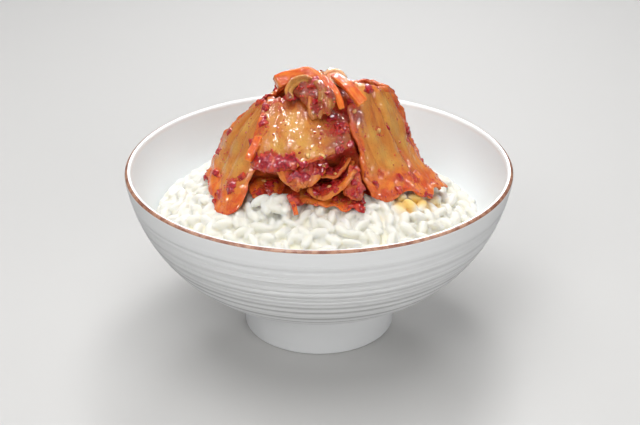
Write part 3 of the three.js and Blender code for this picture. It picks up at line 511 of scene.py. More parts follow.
class Nodes:
    """A short way to write a node tree. Colours are sRGB from 0 to 255, and sizes in mm."""

    def __init__(self, name):
        self.material = bpy.data.materials.new(name)
        self.material.use_nodes = True
        self.tree = self.material.node_tree
        self.tree.nodes.clear()
        self.shader = self.add("ShaderNodeBsdfPrincipled")
        out = self.add("ShaderNodeOutputMaterial")
        self.link(self.shader.outputs["BSDF"], out.inputs["Surface"])

    def add(self, kind, **settings):
        node = self.tree.nodes.new(kind)
        for key, value in settings.items():
            setattr(node, key, value)
        return node

    def link(self, a, b):
        self.tree.links.new(a, b)

    def put(self, node, **values):
        """Sets or links the inputs of a node; a name's underscores stand for spaces."""
        for key, value in values.items():
            socket = node.inputs[key.replace("_", " ")]
            if isinstance(value, bpy.types.NodeSocket):
                self.link(value, socket)
            else:
                socket.default_value = colour(value) if socket.type == "RGBA" else value

    def done(self, **values):
        self.put(self.shader, **values)
        return self.material

    def attribute(self, name):
        node = self.add("ShaderNodeAttribute", attribute_name=name)
        return node.outputs["Vector" if name == "fibre" else "Fac"]

    def place(self):
        return self.add("ShaderNodeTexCoord").outputs["Object"]

    def noise(self, size, detail, rough, vector=None, stretch=None):
        """Noise with bumps `size` mm across, from 0 to 1."""
        vector = vector or self.place()
        if stretch:
            scale = self.add("ShaderNodeMapping")
            self.put(scale, Vector=vector, Scale=stretch)
            vector = scale.outputs["Vector"]
        node = self.add("ShaderNodeTexNoise")
        self.put(node, Vector=vector, Scale=1 / (size * MM), Detail=detail, Roughness=rough)
        return node.outputs["Fac"]

    def flecks(self, size, share):
        """Small separate spots, `size` mm apart, of which `share` of all are there."""
        least, spread, softness = 0.16, 0.22, 0.08
        node = self.add("ShaderNodeTexVoronoi")
        self.put(node, Vector=self.place(), Scale=1 / (size * MM))
        split = self.add("ShaderNodeSeparateColor")
        self.link(node.outputs["Color"], split.inputs["Color"])
        there = self.math("LESS_THAN", split.outputs["Red"], share)
        reach = self.plus(least, (split.outputs["Green"], spread))
        inside = self.math("SUBTRACT", reach, node.outputs["Distance"])
        return self.times(there, self.ramp(inside, 0.0, softness))

    def math(self, operation, a, b):
        node = self.add("ShaderNodeMath", operation=operation)
        for socket, value in zip(node.inputs, (a, b)):
            if isinstance(value, bpy.types.NodeSocket):
                self.link(value, socket)
            else:
                socket.default_value = value
        return node.outputs[0]

    def times(self, a, b):
        return self.math("MULTIPLY", a, b)

    def swing(self, value):
        """A value from 0 to 1 as one from -0.5 to 0.5."""
        return self.math("SUBTRACT", value, 0.5)

    def plus(self, value, *more):
        """A value and more of them, each as (value, strength)."""
        for part, strength in more:
            value = self.math("ADD", value, self.times(part, strength))
        return value

    def ramp(self, value, low, high, to_low=0.0, to_high=1.0):
        node = self.add("ShaderNodeMapRange", interpolation_type="SMOOTHSTEP")
        self.put(node, Value=value, From_Min=low, From_Max=high, To_Min=to_low, To_Max=to_high)
        return node.outputs["Result"]

    def halves(self, value, a, b):
        """Colour a where a noise is low and b where it is high."""
        return self.mix(self.ramp(value, 0.35, 0.65), a, b)

    def mix(self, factor, a, b):
        node = self.add("ShaderNodeMix", data_type="RGBA")
        for key, value in (("Factor", factor), ("A", a), ("B", b)):
            self.put(node, **{key: value})
        return node.outputs["Result"]

    def bump(self, height, distance, strength=1.0, normal=None):
        node = self.add("ShaderNodeBump")
        self.put(node, Height=height, Distance=distance * MM, Strength=strength)
        if normal:
            self.link(normal, node.inputs["Normal"])
        return node.outputs["Normal"]


# A dull skin under a clear coat of juice
WET = dict(Roughness=0.5, Specular_IOR_Level=0.1, Coat_Weight=1.0)
# Stem from its valleys to its ridges, leafy part, dark skin, chilli film, pale border, clear stem
CABBAGE = dict(
    valley=(198, 102, 38), ridge=(230, 158, 68), leaf=(212, 76, 24), leaf_light=(234, 134, 48),
    dark=(142, 60, 40), film_deep=(146, 14, 22), film=(204, 44, 26), pale=(226, 112, 48),
    clear=(226, 176, 84))
STAINED = dict(
    valley=(190, 74, 34), ridge=(222, 138, 56), leaf=(196, 62, 32), leaf_light=(220, 112, 48),
    dark=(150, 36, 28), film_deep=(168, 22, 34), film=(214, 50, 46), pale=(228, 134, 52),
    clear=(222, 138, 56))
PALE = dict(
    valley=(228, 130, 76), ridge=(244, 196, 146), leaf=(234, 120, 62), leaf_light=(242, 164, 104),
    dark=(196, 96, 62), film_deep=(190, 50, 36), film=(216, 74, 40), pale=(244, 196, 150),
    clear=(246, 204, 156))
HEART = dict(
    valley=(150, 76, 34), ridge=(214, 152, 62), leaf=(146, 54, 36), leaf_light=(196, 104, 56),
    dark=(84, 24, 22), film_deep=(124, 26, 26), film=(176, 60, 44), pale=(206, 124, 58),
    clear=(238, 176, 96))
FLECK = (186, 34, 24)


def kimchi_material(name, look):
    """Pickled cabbage: a fibrous stem, orange leafy parts, a chilli film and a wet skin."""
    n = Nodes(name)
    stain_and_shade, tone_and_light, haze_and_shade, fibre = map(n.attribute, ("stain_and_shade", "tone_and_light", "haze_and_shade", "fibre"))
    streak = n.noise(0.8, 4, 0.6, fibre, (1.0, 0.12, 1.0))
    wide = n.noise(2.4, 3, 0.6, fibre, (1.0, 0.3, 1.0))
    patch = n.noise(4.5, 3, 0.6)
    speck = n.noise(0.7, 3, 0.7)
    fine = n.noise(0.45, 2, 0.6)
    blotch, grain = n.swing(patch), n.swing(speck)
    # the striped stem and the orange leafy part
    thin = n.times(n.swing(streak), n.times(n.attribute("stripes"), 0.6))
    lines = n.plus(thin, (wide, 0.6), (n.attribute("vein"), 0.1))
    stem = n.mix(n.ramp(lines, 0.0, 0.6), look["valley"], look["ridge"])
    stem = n.mix(n.times(n.attribute("glow"), 0.6), stem, look["clear"])
    leafy = n.halves(patch, look["leaf"], look["leaf_light"])
    base = n.mix(n.ramp(n.plus(tone_and_light, (blotch, 0.9)), 0.25, 0.85), stem, leafy)
    # darker skin, which on the heap inside is painted shade, chilli film and flecks
    shade = n.plus(haze_and_shade, (blotch, 0.9), (grain, 0.7))
    base = n.mix(n.ramp(shade, 0.15, 1.0, 0.0, 0.85), base, look["dark"])
    reach = n.plus(stain_and_shade, (grain, 1.2), (blotch, 1.0))
    film = n.halves(speck, look["film_deep"], look["film"])
    base = n.mix(n.ramp(reach, 0.35, 0.95, 0.0, 0.9), base, film)
    small = n.flecks(0.65, n.plus(0.04, (stain_and_shade, 0.5), (haze_and_shade, 0.4)))
    base = n.mix(n.times(small, 0.7), base, FLECK)
    # pale worn borders and a fine mottle
    worn = n.plus(n.attribute("rim"), (grain, 1.0), (blotch, 1.0))
    border = n.times(n.ramp(worn, 0.15, 0.95), n.ramp(reach, 0.5, 1.1, 0.9, 0.3))
    base = n.mix(border, base, look["pale"])
    mottle = n.times(n.ramp(fine, 0.45, 0.75), n.times(tone_and_light, 0.4))
    base = n.mix(mottle, base, look["pale"])
    base = n.mix(n.ramp(fine, 0.5, 0.2, 0.0, 0.3), base, look["dark"])
    wet = n.bump(small, 0.05, 0.8, n.bump(n.noise(1.2, 0, 0.5), 0.3))
    skin = n.bump(small, 0.12, 0.6, n.bump(streak, 0.1, 0.5))
    return n.done(
        **WET, Base_Color=base, Normal=skin, Coat_Normal=wet, Coat_Roughness=0.05, Coat_IOR=1.5, IOR=1.4,
        Subsurface_Weight=0.2, Subsurface_Radius=(1.0, 0.5, 0.2), Subsurface_Scale=1.0 * MM)


def paste_material():
    n = Nodes("chilli_paste")
    base = n.halves(n.noise(0.8, 3, 0.7), (134, 8, 22), (194, 30, 36))
    light = n.ramp(n.noise(2.2, 2, 0.6), 0.48, 0.66, 0.0, 0.8)
    base = n.mix(light, base, (214, 78, 42))
    wet = n.bump(n.noise(1.6, 0, 0.5), 0.3)
    return n.done(
        **WET, Base_Color=base, Normal=wet, Coat_Normal=wet, Coat_Roughness=0.04, Coat_IOR=1.6, IOR=1.42,
        Subsurface_Weight=0.15, Subsurface_Radius=(1.0, 0.2, 0.15), Subsurface_Scale=1.0 * MM)


def shiny_material(name, size, dark, light, **more):
    """A hard little thing with patches of two colours, `size` mm across."""
    n = Nodes(name)
    base = n.halves(n.noise(size, 2, 0.6), dark, light)
    return n.done(Base_Color=base, Roughness=0.35, Coat_Weight=0.8, Coat_Roughness=0.08, **more)


def carrot_material():
    n = Nodes("carrot")
    streak = n.noise(0.7, 3, 0.6, n.attribute("fibre"), (1.0, 0.12, 1.0))
    base = n.halves(streak, (232, 98, 26), (244, 136, 44))
    base = n.mix(n.ramp(n.noise(3.0, 2, 0.5), 0.45, 0.7, 0.0, 0.5), base, (206, 66, 24))
    base = n.mix(n.times(n.attribute("rim"), 0.6), base, (238, 152, 56))
    reach = n.plus(n.attribute("stain_and_shade"), (n.swing(n.noise(0.9, 3, 0.7)), 1.6))
    base = n.mix(n.ramp(reach, 0.3, 0.9, 0.0, 0.85), base, (204, 56, 34))
    small = n.flecks(0.9, 0.12)
    base = n.mix(n.times(small, 0.7), base, (180, 36, 22))
    wet = n.bump(small, 0.12, 0.8, n.bump(n.noise(0.9, 0, 0.5), 0.28))
    return n.done(
        **WET, Base_Color=base, Normal=n.bump(streak, 0.15, 0.5), Coat_Normal=wet,
        Coat_Roughness=0.05, Coat_IOR=1.6, IOR=1.4,
        Subsurface_Weight=0.3, Subsurface_Radius=(1.0, 0.4, 0.1), Subsurface_Scale=1.5 * MM)


def rice_material():
    """Cooked rice: milky, yellow where juice has run in, and brighter and warmer where it lies deep, which
    is painted light that lifts the shade between the grains.
    """
    n = Nodes("rice")
    patch = n.noise(6.0, 2, 0.5)
    base = n.mix(patch, (232, 231, 226), (231, 229, 216))
    # painted light: deep between the grains the rice is brighter and warmer, to lift the shade there
    base = n.mix(n.ramp(n.attribute("tone_and_light"), 0.1, 0.9, 0.0, 0.9), base, (250, 246, 222))
    juice = n.plus(n.attribute("stain_and_shade"), (patch, 0.3))
    base = n.mix(n.ramp(juice, 0.4, 1.15), base, (240, 200, 96))
    wet = n.bump(n.noise(1.5, 2, 0.5), 0.12, 0.5)
    return n.done(
        Base_Color=base, Roughness=0.42, Normal=wet, Specular_IOR_Level=0.35, IOR=1.4,
        Subsurface_Weight=1.0, Subsurface_Radius=(1.0, 0.95, 0.8), Subsurface_Scale=2.0 * MM)


def glaze_material():
    """White porcelain with painted grey shade in its grooves and fine rings outside, a brown line round its
    lip, and a cooler white inside that is painted light against the warm light bounced off the kimchi.
    """
    n = Nodes("porcelain")
    white = n.mix(n.noise(18.0, 2, 0.5), (241, 242, 242), (238, 239, 239))
    # painted light: the inside is a cooler white, to cancel the warm light bounced off the kimchi
    white = n.mix(n.attribute("tone_and_light"), white, (238, 243, 246))
    # painted shade: grey in the grooves, as strong as each groove
    white = n.mix(n.times(n.attribute("stain_and_shade"), 0.7), white, (130, 129, 127))
    uneven = n.noise(2.5, 3, 0.6)
    iron = n.halves(uneven, (140, 84, 62), (188, 140, 112))
    reach = n.plus(n.attribute("rim"), (n.swing(uneven), 0.5))
    rings = n.times(n.noise(1.5, 2, 0.6, n.attribute("fibre")), n.attribute("vein"))
    return n.done(
        Base_Color=n.mix(n.ramp(reach, 0.4, 0.6), white, iron), Roughness=0.32, IOR=1.45,
        Normal=n.bump(rings, 1.2))


# ------------ leaves

MASKS = ("stain_and_shade", "haze_and_shade", "tone_and_light", "rim", "vein", "stripes", "glow")
# Noises as (strength, size in mm, and maybe a scale of x, y and z)
WANDER = (1.2, 5.0)
FINE_WANDER = (1.2, 2.2, (1, 0.35, 1))
TEARS = ((1.0, 3.2), (0.6, 1.2))
RAGS = ((1.0, 4.5), (0.6, 1.5))
FIBRES = (0.06, 0.9, (1, 0.1, 1))
WRINKLES = ((0.34, 4.0, (1, 0.5, 1)), (0.16, 1.9, (1, 0.6, 1)), (0.05, 0.8))
RUFFLES = ((0.7, 3.4), (0.3, 1.5))
# Where a soft band along the border ends and where it is full, in mm
RED_BAND = (5.0, 0.3)
LIP_BAND = (2.3, 0.9)
# Where a soft patch ends and where it is full, times its radius
SPOT_EDGE = (1.25, 0.5)
HAZE_EDGE = (1.4, 0.2)
LIGHT_EDGE = (1.5, 0.2)
# How much thinner a leaf is at its sides, at its foot and where it is leafy
THIN_SIDES = 0.35
THIN_FOOT = 0.3
THIN_LEAFY = 0.25


def full_leaf(leaf):
    """A leaf with all its values, and the random spots and lumps of chilli that it asks for."""
    leaf = PLAIN_LEAF | leaf
    spots, clumps = list(leaf["spots"]), list(leaf["clumps"])
    rng = np.random.default_rng(leaf["seed"])
    for _ in range(leaf["scattered"]):
        u, v, size, strength, lumps = rng.uniform(0, 1, 5)
        radius = 0.5 + 2.2 * size ** 2.5
        spots.append((u, v, radius, 0.4 + 0.6 * strength))
        if lumps < 0.6:
            clumps.append((u, v, 0.3 + 0.6 * radius, int(2 + 3 * radius)))
    return leaf | dict(spots=spots, clumps=clumps)


def leaf_flat(leaf, u, v):
    """The sheet that is stretched straight between a leaf's two edges."""
    left = through_points(leaf["left"], u)
    right = through_points(leaf["right"], u)
    return left * (1 - v)[..., None] + right * v[..., None]


def leaf_middle(leaf, u, v):
    """The middle of a leaf at u down and v across it, without its fine relief."""
    middle = 4 * v * (1 - v)
    ragged = leaf["ragged"] * np.sin(TAU * leaf["lobes"] * v)
    reach = u * (1 + leaf["foot"] * middle + ragged * u)
    step = 0.02
    down = leaf_flat(leaf, reach + step, v) - leaf_flat(leaf, reach - step, v)
    across = leaf_flat(leaf, reach, v + step) - leaf_flat(leaf, reach, v - step)
    out = leaf["crown"] * middle * (0.45 + 0.55 * u)
    return leaf_flat(leaf, reach, v) + unit(np.cross(down, across)) * out[..., None]


def leaf_size(leaf):
    """How long and how wide a leaf is, in mm."""
    t = np.array([0, 0.25, 0.5, 0.75, 1.0])
    half = np.full(5, 0.5)
    lines = leaf_middle(leaf, t, half), leaf_middle(leaf, half, t)
    return [np.linalg.norm(np.diff(line, axis=0), axis=1).sum() for line in lines]


def steps_with_close_ends(count, length, near=1.2):
    """Places from 0 to 1, `count` cells, closer together within `near` mm of both ends."""
    edge = np.array([0, 0.04, 0.14, 0.32, 0.6, 1.0]) * near / length
    middle = np.linspace(edge[-1], 1 - edge[-1], count - 2 * (len(edge) - 1) + 1)
    return np.concatenate([edge[:-1], middle, 1 - edge[:-1][::-1]])


def line_distance(across, down, points):
    """How far every place of a sheet, in mm, is from a line through the points."""
    nearest = np.full(across.shape, 1e9)
    for (ax, ay), (bx, by) in zip(points[:-1], points[1:]):
        dx, dy = bx - ax, by - ay
        t = np.clip(((across - ax) * dx + (down - ay) * dy) / (dx * dx + dy * dy), 0, 1)
        nearest = np.minimum(nearest, np.hypot(across - ax - t * dx, down - ay - t * dy))
    return nearest


def surface_normal(middle):
    down = np.gradient(middle, axis=0)
    across = np.gradient(middle, axis=1)
    return unit(np.cross(down, across))


def rounded(distance, half, corner):
    """Half thickness at a distance from the border, rounded off over `corner` mm."""
    t = np.clip(1 - distance / corner, 0, 1)
    return half * np.sqrt(np.clip(1 - t ** 2, 0, 1))


def border_bands(sides, strengths, outer, inner):
    """Bands along the four borders, full within `inner` mm and gone beyond `outer`."""
    bands = [strength * smooth(outer, inner, side) for side, strength in zip(sides, strengths)]
    return np.maximum.reduce(bands)


def leafy_parts(leaf, flat, sides):
    """How thin and leafy each place is, from 0 to 1, which only the borders are."""
    leafy = 0 * flat[..., 0]
    wander = layers(flat, leaf["seed"] + 11, WANDER) + layers(flat, leaf["seed"] + 15, FINE_WANDER)
    for side, reach in zip(sides, leaf["leafy"]):
        if reach:
            leafy = np.maximum(leafy, smooth(reach * 1.7 + wander, reach * 0.3 + wander, side))
    return leafy


def torn_middle(leaf, flat, u, v, leafy):
    """The middle of a leaf that is torn along its borders, most of all where it is leafy."""
    length, width = leaf_size(leaf)
    tear = layers(flat, leaf["seed"], *TEARS)
    ragged = layers(flat, leaf["seed"] + 2, *RAGS)
    u_torn = u + leaf["tear"] * tear * (0.5 + 0.8 * leafy) / length * smooth(0.8, 1.0, u)
    u_torn = u_torn - 0.5 * tear / length * smooth(0.15, 0.0, u)
    outward = smooth(0.8, 1.0, v) - smooth(0.2, 0.0, v)
    v_torn = v + leaf["tear"] * ragged * (0.35 + 0.4 * leafy) / width * outward
    return leaf_middle(leaf, u_torn, v_torn)


def leaf_creases(leaf, flat):
    """How deep the creases are in mm, and how much of a crease each place is, from 0 to 1."""
    length, width = leaf_size(leaf)
    across, down = flat[..., 0], flat[..., 1]
    uneven = across + 0.8 * noise(flat, 6.0, leaf["seed"] + 12)
    depths, crease = 0 * across, 0 * across
    for points, depth, wide in leaf["creases"]:
        line = [(v * width, u * length) for u, v in points]
        cut = np.exp(-(line_distance(uneven, down, line) / wide) ** 2)
        depths = depths + depth * cut
        crease = np.maximum(crease, cut * min(1, depth))
    return depths, crease


def leaf_sheet(leaf):
    """A leaf as a grid of places, with its half thickness and the masks for its material."""
    length, width = leaf_size(leaf)
    seed = leaf["seed"]
    rows, columns = leaf["cells"]
    u, v = np.meshgrid(steps_with_close_ends(rows, length), steps_with_close_ends(columns, width),
                       indexing="ij")
    across, down = v * width, u * length
    flat = np.stack([across, down, np.full(u.shape, seed * 7.0)], -1)
    sides = (across, width - across, down, length - down)
    edge = np.minimum.reduce(sides)
    leafy = leafy_parts(leaf, flat, sides)
    # ribs, creases, fibres and wrinkles
    middle = torn_middle(leaf, flat, u, v, leafy)
    sway = 0.05 * noise(flat * [0.2, 1, 1], 9.0, seed + 4)
    rib = -np.cos(TAU * leaf["ribs"] * (v + sway)) if leaf["ribs"] else 0 * u
    depths, crease = leaf_creases(leaf, flat)
    relief = leaf["rib"] * rib * smooth(0, 3, edge) - depths
    relief = relief + layers(flat, seed + 5, FIBRES)
    relief = relief + leaf["wrinkle"] * layers(flat, seed + 6, *WRINKLES)
    relief = relief + leafy * layers(flat, seed + 9, *RUFFLES)
    middle = middle + surface_normal(middle) * relief[..., None]
    # thickness, with rolled lips
    lip_width = leaf["lip_width"]
    rolled = 0.45 * noise(flat, 3, seed + 13)
    lip = border_bands([side / lip_width + rolled for side in sides], leaf["lips"], *LIP_BAND)
    swell = 0.45 + 0.3 * noise(flat, 2.0, seed + 16)
    half = leaf["thick"] / 2 * (1 - THIN_SIDES * (2 * v - 1) ** 4) * (1 - THIN_FOOT * u ** 4)
    half = half * (1 - THIN_LEAFY * leafy) + swell * lip * lip_width
    half = rounded(edge, half, 0.55 * leaf["thick"])

    def patches(spots, outer, inner, uneven=0):
        """Soft round patches (u, v, radius, strength); outer and inner are times the radius."""
        cover = 0 * u
        for su, sv, radius, strength in spots:
            far = np.hypot((u - su) * length, (v - sv) * width) + uneven
            cover = np.maximum(cover, strength * smooth(outer * radius, inner * radius, far))
        return cover

    # colours
    spots = patches(leaf["spots"], *SPOT_EDGE, 0.7 * noise(flat, 1.8, seed + 14))
    red = border_bands(sides, leaf["red"], *RED_BAND)
    stain_and_shade = np.maximum.reduce([leaf["chilli"] + 0 * u, red, 0.35 * crease, spots])
    glow = patches([(*spot, 1.0) for spot in leaf["light"]], *LIGHT_EDGE)
    # darker skin in the listed patches and darker along the creases, less of it where the stem is clear
    haze_and_shade = np.maximum(0.3 * crease, patches(leaf["haze_and_shade"], *HAZE_EDGE)) * (1 - 0.7 * glow)
    rim = np.maximum(0.8 * lip, 0.5 * smooth(0.6, 0.2, edge))
    stripes = leaf["stripes"] + 0 * u
    flat[..., 0] -= leaf["slant"] * down
    return dict(
        middle=middle, normal=surface_normal(middle), half=half, fibre=flat, u=u, v=v, stain_and_shade=stain_and_shade,
        haze_and_shade=haze_and_shade, tone_and_light=leaf["tone_and_light"] + (1 - leaf["tone_and_light"]) * leafy, rim=rim,
        vein=stripes * rib - 1.5 * crease, stripes=stripes, glow=glow, area=length * width)


def skins(sheet):
    """The front and the back of a sheet, as lists of points."""
    out = sheet["normal"] * sheet["half"][..., None]
    return (sheet["middle"] + out).reshape(-1, 3), (sheet["middle"] - out).reshape(-1, 3)


def closed_sheet(sheet):
    """Points and faces of a sheet with front and back, which share their border points."""
    front, back = skins(sheet)
    rows, columns = sheet["half"].shape
    border = np.ones((rows, columns), bool)
    border[1:-1, 1:-1] = False
    border = border.ravel()
    inner = np.flatnonzero(~border)
    back_index = np.arange(len(front))
    back_index[inner] = len(front) + np.arange(len(inner))
    faces = grid_faces(rows - 1, columns - 1)
    front[border] = sheet["middle"].reshape(-1, 3)[border]
    faces = np.vstack([faces, back_index[faces[:, ::-1]]])
    return np.vstack([front, back[inner]]), faces, inner


def add_sheets(name, sheets, material):
    """One piece of one or more sheets, which stands for the CAD node `name`."""
    all_points, all_faces, fibres = [], [], []
    masks = {key: [] for key in MASKS}
    count = 0
    for sheet in sheets:
        points, faces, inner = closed_sheet(sheet)
        all_points.append(points)
        all_faces.append(faces + count)
        count += len(points)
        fibre = sheet["fibre"].reshape(-1, 3)
        fibres.append(np.vstack([fibre, fibre[inner] + [0, 0, 9]]))
        for key, values in masks.items():
            values += [sheet[key].ravel(), sheet[key].ravel()[inner]]
    masks = {key: np.concatenate(values) for key, values in masks.items()}
    make_object(name + "_real", np.vstack(all_points), np.vstack(all_faces), material, masks,
                np.vstack(fibres), name)


# ------------ carrot strips

STRIP_STEPS = 90
STRIP_SIDES = 28
# How square the section is: 1 is an ellipse, 0 a sharp box
STRIP_POWER = 0.28
# Both ends close with smaller rings, which bulge out a little
CAP_RINGS = (0.0, 0.4, 0.75)
CAP_BULGE = 0.12
# How much smaller the end is, and over how many mm it gets so
END_PULL = 0.16
END_ROUND = 0.5
WOBBLE = ((0.14, 2.2), (0.05, 0.8))


def add_strip(name, strip, material):
    """A carrot strip: a box section with rounded corners along a bent line."""
    t = np.linspace(0, 1, STRIP_STEPS + 1)
    path = through_points(strip["path"], t)
    tangent = unit(np.gradient(path, axis=0))
    side = np.array(strip["across"], float)[None, :]
    side = unit(side - tangent * (side * tangent).sum(1, keepdims=True))
    up = np.cross(tangent, side)
    length = np.linalg.norm(np.diff(path, axis=0), axis=1).sum()
    near_end = np.minimum(t, 1 - t) * length
    start, end = np.array([strip["start"], strip["end"]])
    pull = 1 - END_PULL * smooth(END_ROUND, 0.0, near_end)
    size = (start + (end - start) * t[:, None]) / 2 * pull[:, None]
    angle = np.arange(STRIP_SIDES) / STRIP_SIDES * TAU
    corner = np.stack([np.cos(angle), np.sin(angle)], -1)
    corner = np.sign(corner) * np.abs(corner) ** STRIP_POWER
    box = corner * size[:, None]
    ring = path[:, None] + side[:, None] * box[..., :1] + up[:, None] * box[..., 1:]
    wobble = strip["rough"] * layers(ring, strip["seed"], *WOBBLE)
    ring = ring + unit(ring - path[:, None]) * wobble[..., None]
    # the rows of the mesh: the rings along the strip between those of its two ends
    caps = len(CAP_RINGS)
    row = np.pad(np.arange(STRIP_STEPS + 1), caps, "edge")
    shrink = np.concatenate([CAP_RINGS, np.ones(len(t)), CAP_RINGS[::-1]])
    out = np.repeat([-1, 0, 1], [caps, len(t), caps]) * CAP_BULGE * (1 - shrink)
    centre = ring.mean(1)[row][:, None]
    points = centre + (ring[row] - centre) * shrink[:, None, None] + (tangent[row] * out[:, None])[:, None]
    local = points - path[row][:, None]
    fibre = np.stack([(local * side[row][:, None]).sum(-1), local[..., 0] * 0 + (t[row] * length)[:, None],
                      (local * up[row][:, None]).sum(-1)], -1)
    rim = np.repeat(smooth(0.7, 0.0, near_end)[row], STRIP_SIDES)
    piece = make_object(
        name + "_real", points.reshape(-1, 3), tube_faces(len(row) - 1, STRIP_SIDES)[:, ::-1], material,
        {"rim": rim, "stain_and_shade": rim * 0 + strip["chilli"]}, fibre.reshape(-1, 3), name)
    weld(piece)


# ------------ bowl

OUTER_WALL = [
    (FOOT_RADIUS - 6.6, FOOT_HEIGHT - 0.2),
    (RIM_RADIUS * 0.7, FOOT_HEIGHT),
    (RIM_RADIUS * 0.96, BOWL_HEIGHT * 0.63),
    (RIM_RADIUS, BOWL_HEIGHT),
]
WALL_START = 0.115
WALL_END = 0.99
# Low even ridges all the way up the wall, besides the grooves
RIDGES = 23
RIDGE_HEIGHT = 0.04
# The profile starts and ends this far from the axis
AXIS_GAP = 0.01
# How many points the profile has along each part
ROUND_STEPS = 8
OUTSIDE_STEPS = 150
LIP_STEPS = 22
INSIDE_STEPS = 50


def bezier(points, t):
    a, b, c, d = [np.array(p, float) for p in points]
    t = np.asarray(t)[..., None]
    return (1 - t) ** 3 * a + 3 * t * (1 - t) ** 2 * b + 3 * t * t * (1 - t) * c + t ** 3 * d


def wall_point(t, depth):
    """The point (radius, height) at t along the outer wall and `depth` mm inside it."""
    t = np.asarray(t, float)
    tangent = unit(bezier(OUTER_WALL, t + 1e-3) - bezier(OUTER_WALL, t - 1e-3))
    inward = np.stack([-tangent[..., 1], tangent[..., 0]], -1)
    return bezier(OUTER_WALL, t) + inward * np.asarray(depth)[..., None]


def inner_wall(t, gap=0.0):
    thickness = FLOOR_THICKNESS + (LIP_THICKNESS - FLOOR_THICKNESS) * np.minimum(1, t * 1.3)
    return wall_point(t, thickness + gap)


def arc(centre, radius, start, end, steps):
    angle = np.radians(np.linspace(start, end, steps))
    return np.stack([centre[0] + radius * np.cos(angle), centre[1] + radius * np.sin(angle)], -1)


def lathe(profile, segments):
    """Points and faces of a profile turned about the bowl's axis."""
    angle = np.arange(segments) / segments * TAU
    ring = np.stack([np.cos(angle), np.sin(angle)], -1)
    height = np.repeat(profile[:, None, 1:], segments, 1)
    points = np.concatenate([profile[:, None, :1] * ring[None], height], -1)
    return points, tube_faces(len(profile) - 1, segments)


def add_bowl(material):
    inside_foot = FOOT_RADIUS - FOOT_WALL
    foot_edge = FOOT_RADIUS - FOOT_TAPER
    foot = np.vstack([
        [(AXIS_GAP, RECESS_DEPTH)],
        arc((inside_foot - RECESS_ROUND, RECESS_DEPTH - RECESS_ROUND), RECESS_ROUND, 90, 0, ROUND_STEPS),
        arc((inside_foot + FOOT_ROUND, FOOT_ROUND), FOOT_ROUND, 180, 270, ROUND_STEPS),
        arc((foot_edge - FOOT_ROUND, FOOT_ROUND), FOOT_ROUND, 270, 360, ROUND_STEPS),
        [(foot_edge + 0.1, 5.0), (FOOT_RADIUS - 0.1, 9.0), (FOOT_RADIUS, FOOT_HEIGHT - 1.2),
         (FOOT_RADIUS + 0.15, FOOT_HEIGHT - 0.4)]])
    t = np.linspace(WALL_START, WALL_END, OUTSIDE_STEPS)
    groove = sum(strength * np.exp(-((t - place) / GROOVE_WIDTH) ** 2) for place, strength in GROOVES)
    ridge = RIDGE_HEIGHT / 2 * (1 - np.cos(TAU * RIDGES * t))
    outside = wall_point(t, ridge + GROOVE_DEPTH * groove)
    lip = arc(wall_point(WALL_END, LIP_THICKNESS / 2), LIP_THICKNESS / 2, 0, 180, LIP_STEPS)
    inside = inner_wall(np.linspace(WALL_END, WALL_START, INSIDE_STEPS))
    floor_z = inside[-1][1] - 0.1
    profile = np.vstack([foot, outside, lip, inside[1:], [(12, floor_z), (AXIS_GAP, floor_z)]])
    wall_part = slice(len(foot), len(foot) + len(t))
    lip_part = slice(wall_part.stop, wall_part.stop + len(lip))
    turn = np.linspace(0, 180, len(lip))
    dark, rings, line, hollow = np.zeros((4, len(profile)))
    # painted shade in the grooves, which the porcelain turns grey
    dark[wall_part] = np.minimum(groove, 1)
    rings[wall_part] = smooth(0.14, 0.3, t) * smooth(0.97, 0.85, t)
    line[lip_part] = smooth(*LIP_LINE_FROM, turn) * smooth(*LIP_LINE_TO, turn)
    # the inside, which gets the cooler white that is painted light
    hollow[lip_part.stop:] = 1
    masks = {"rim": line, "stain_and_shade": dark, "vein": rings, "tone_and_light": hollow}
    masks = {key: np.repeat(values, BOWL_SEGMENTS) for key, values in masks.items()}
    points, faces = lathe(profile, BOWL_SEGMENTS)
    points = points.reshape(-1, 3)
    # the fine rings follow the length of the profile, so they run round the bowl
    along = np.concatenate([[0], np.cumsum(np.linalg.norm(np.diff(profile, axis=0), axis=1))])
    fibre = np.column_stack([points[:, :2] * RING_WOBBLE, np.repeat(along, BOWL_SEGMENTS)])
    weld(make_object("bowl_real", points, faces, material, masks, fibre, "bowl"))


# ------------ rice

# How many grains lie in each layer, and how far below the top of the mound
RICE_LAYERS = ((320, -1.7), (360, -0.5))
# Grains that lie on the foot of the kimchi: x, y, z in mm and their heading in degrees
LOOSE_GRAINS = [(-17.6, -20.6, 52.0, 20), (-13.6, -20.8, 52.4, 60), (-15.8, -22.8, 50.6, 100),
                (-10.8, -20.8, 52.6, 35), (-9.4, -23.2, 50.8, 70), (-12.6, -23.4, 50.6, -20)]
RICE_MARGIN = 1.9
WALL_GRAINS = 58
WALL_GRAINS_RADIUS = 49.9
RICE_VOXEL = 0.36
RICE_TRIANGLES = 180000
# Room between the grains and the leaves over them, and how far a grain may be pushed down
CLEAR = 1.2
MOST_PUSHED = 3.5
# Under the heap there are no grains: middle x, half width, and half depth in front and behind
HEAP_FOOT = (1, 23, 10.5, 14)
GOLDEN_ANGLE = math.pi * (3 - math.sqrt(5))
# Lumps of the mound, which the grains follow, and smaller ones of the core, as (height, size)
MOUND_LUMPS = (0.7, 9.0)
CORE_LUMPS = (0.5, 3.0)
CORE_DEPTH = 1.5
CORE_SEGMENTS = 96
LUMP_SEED = 81


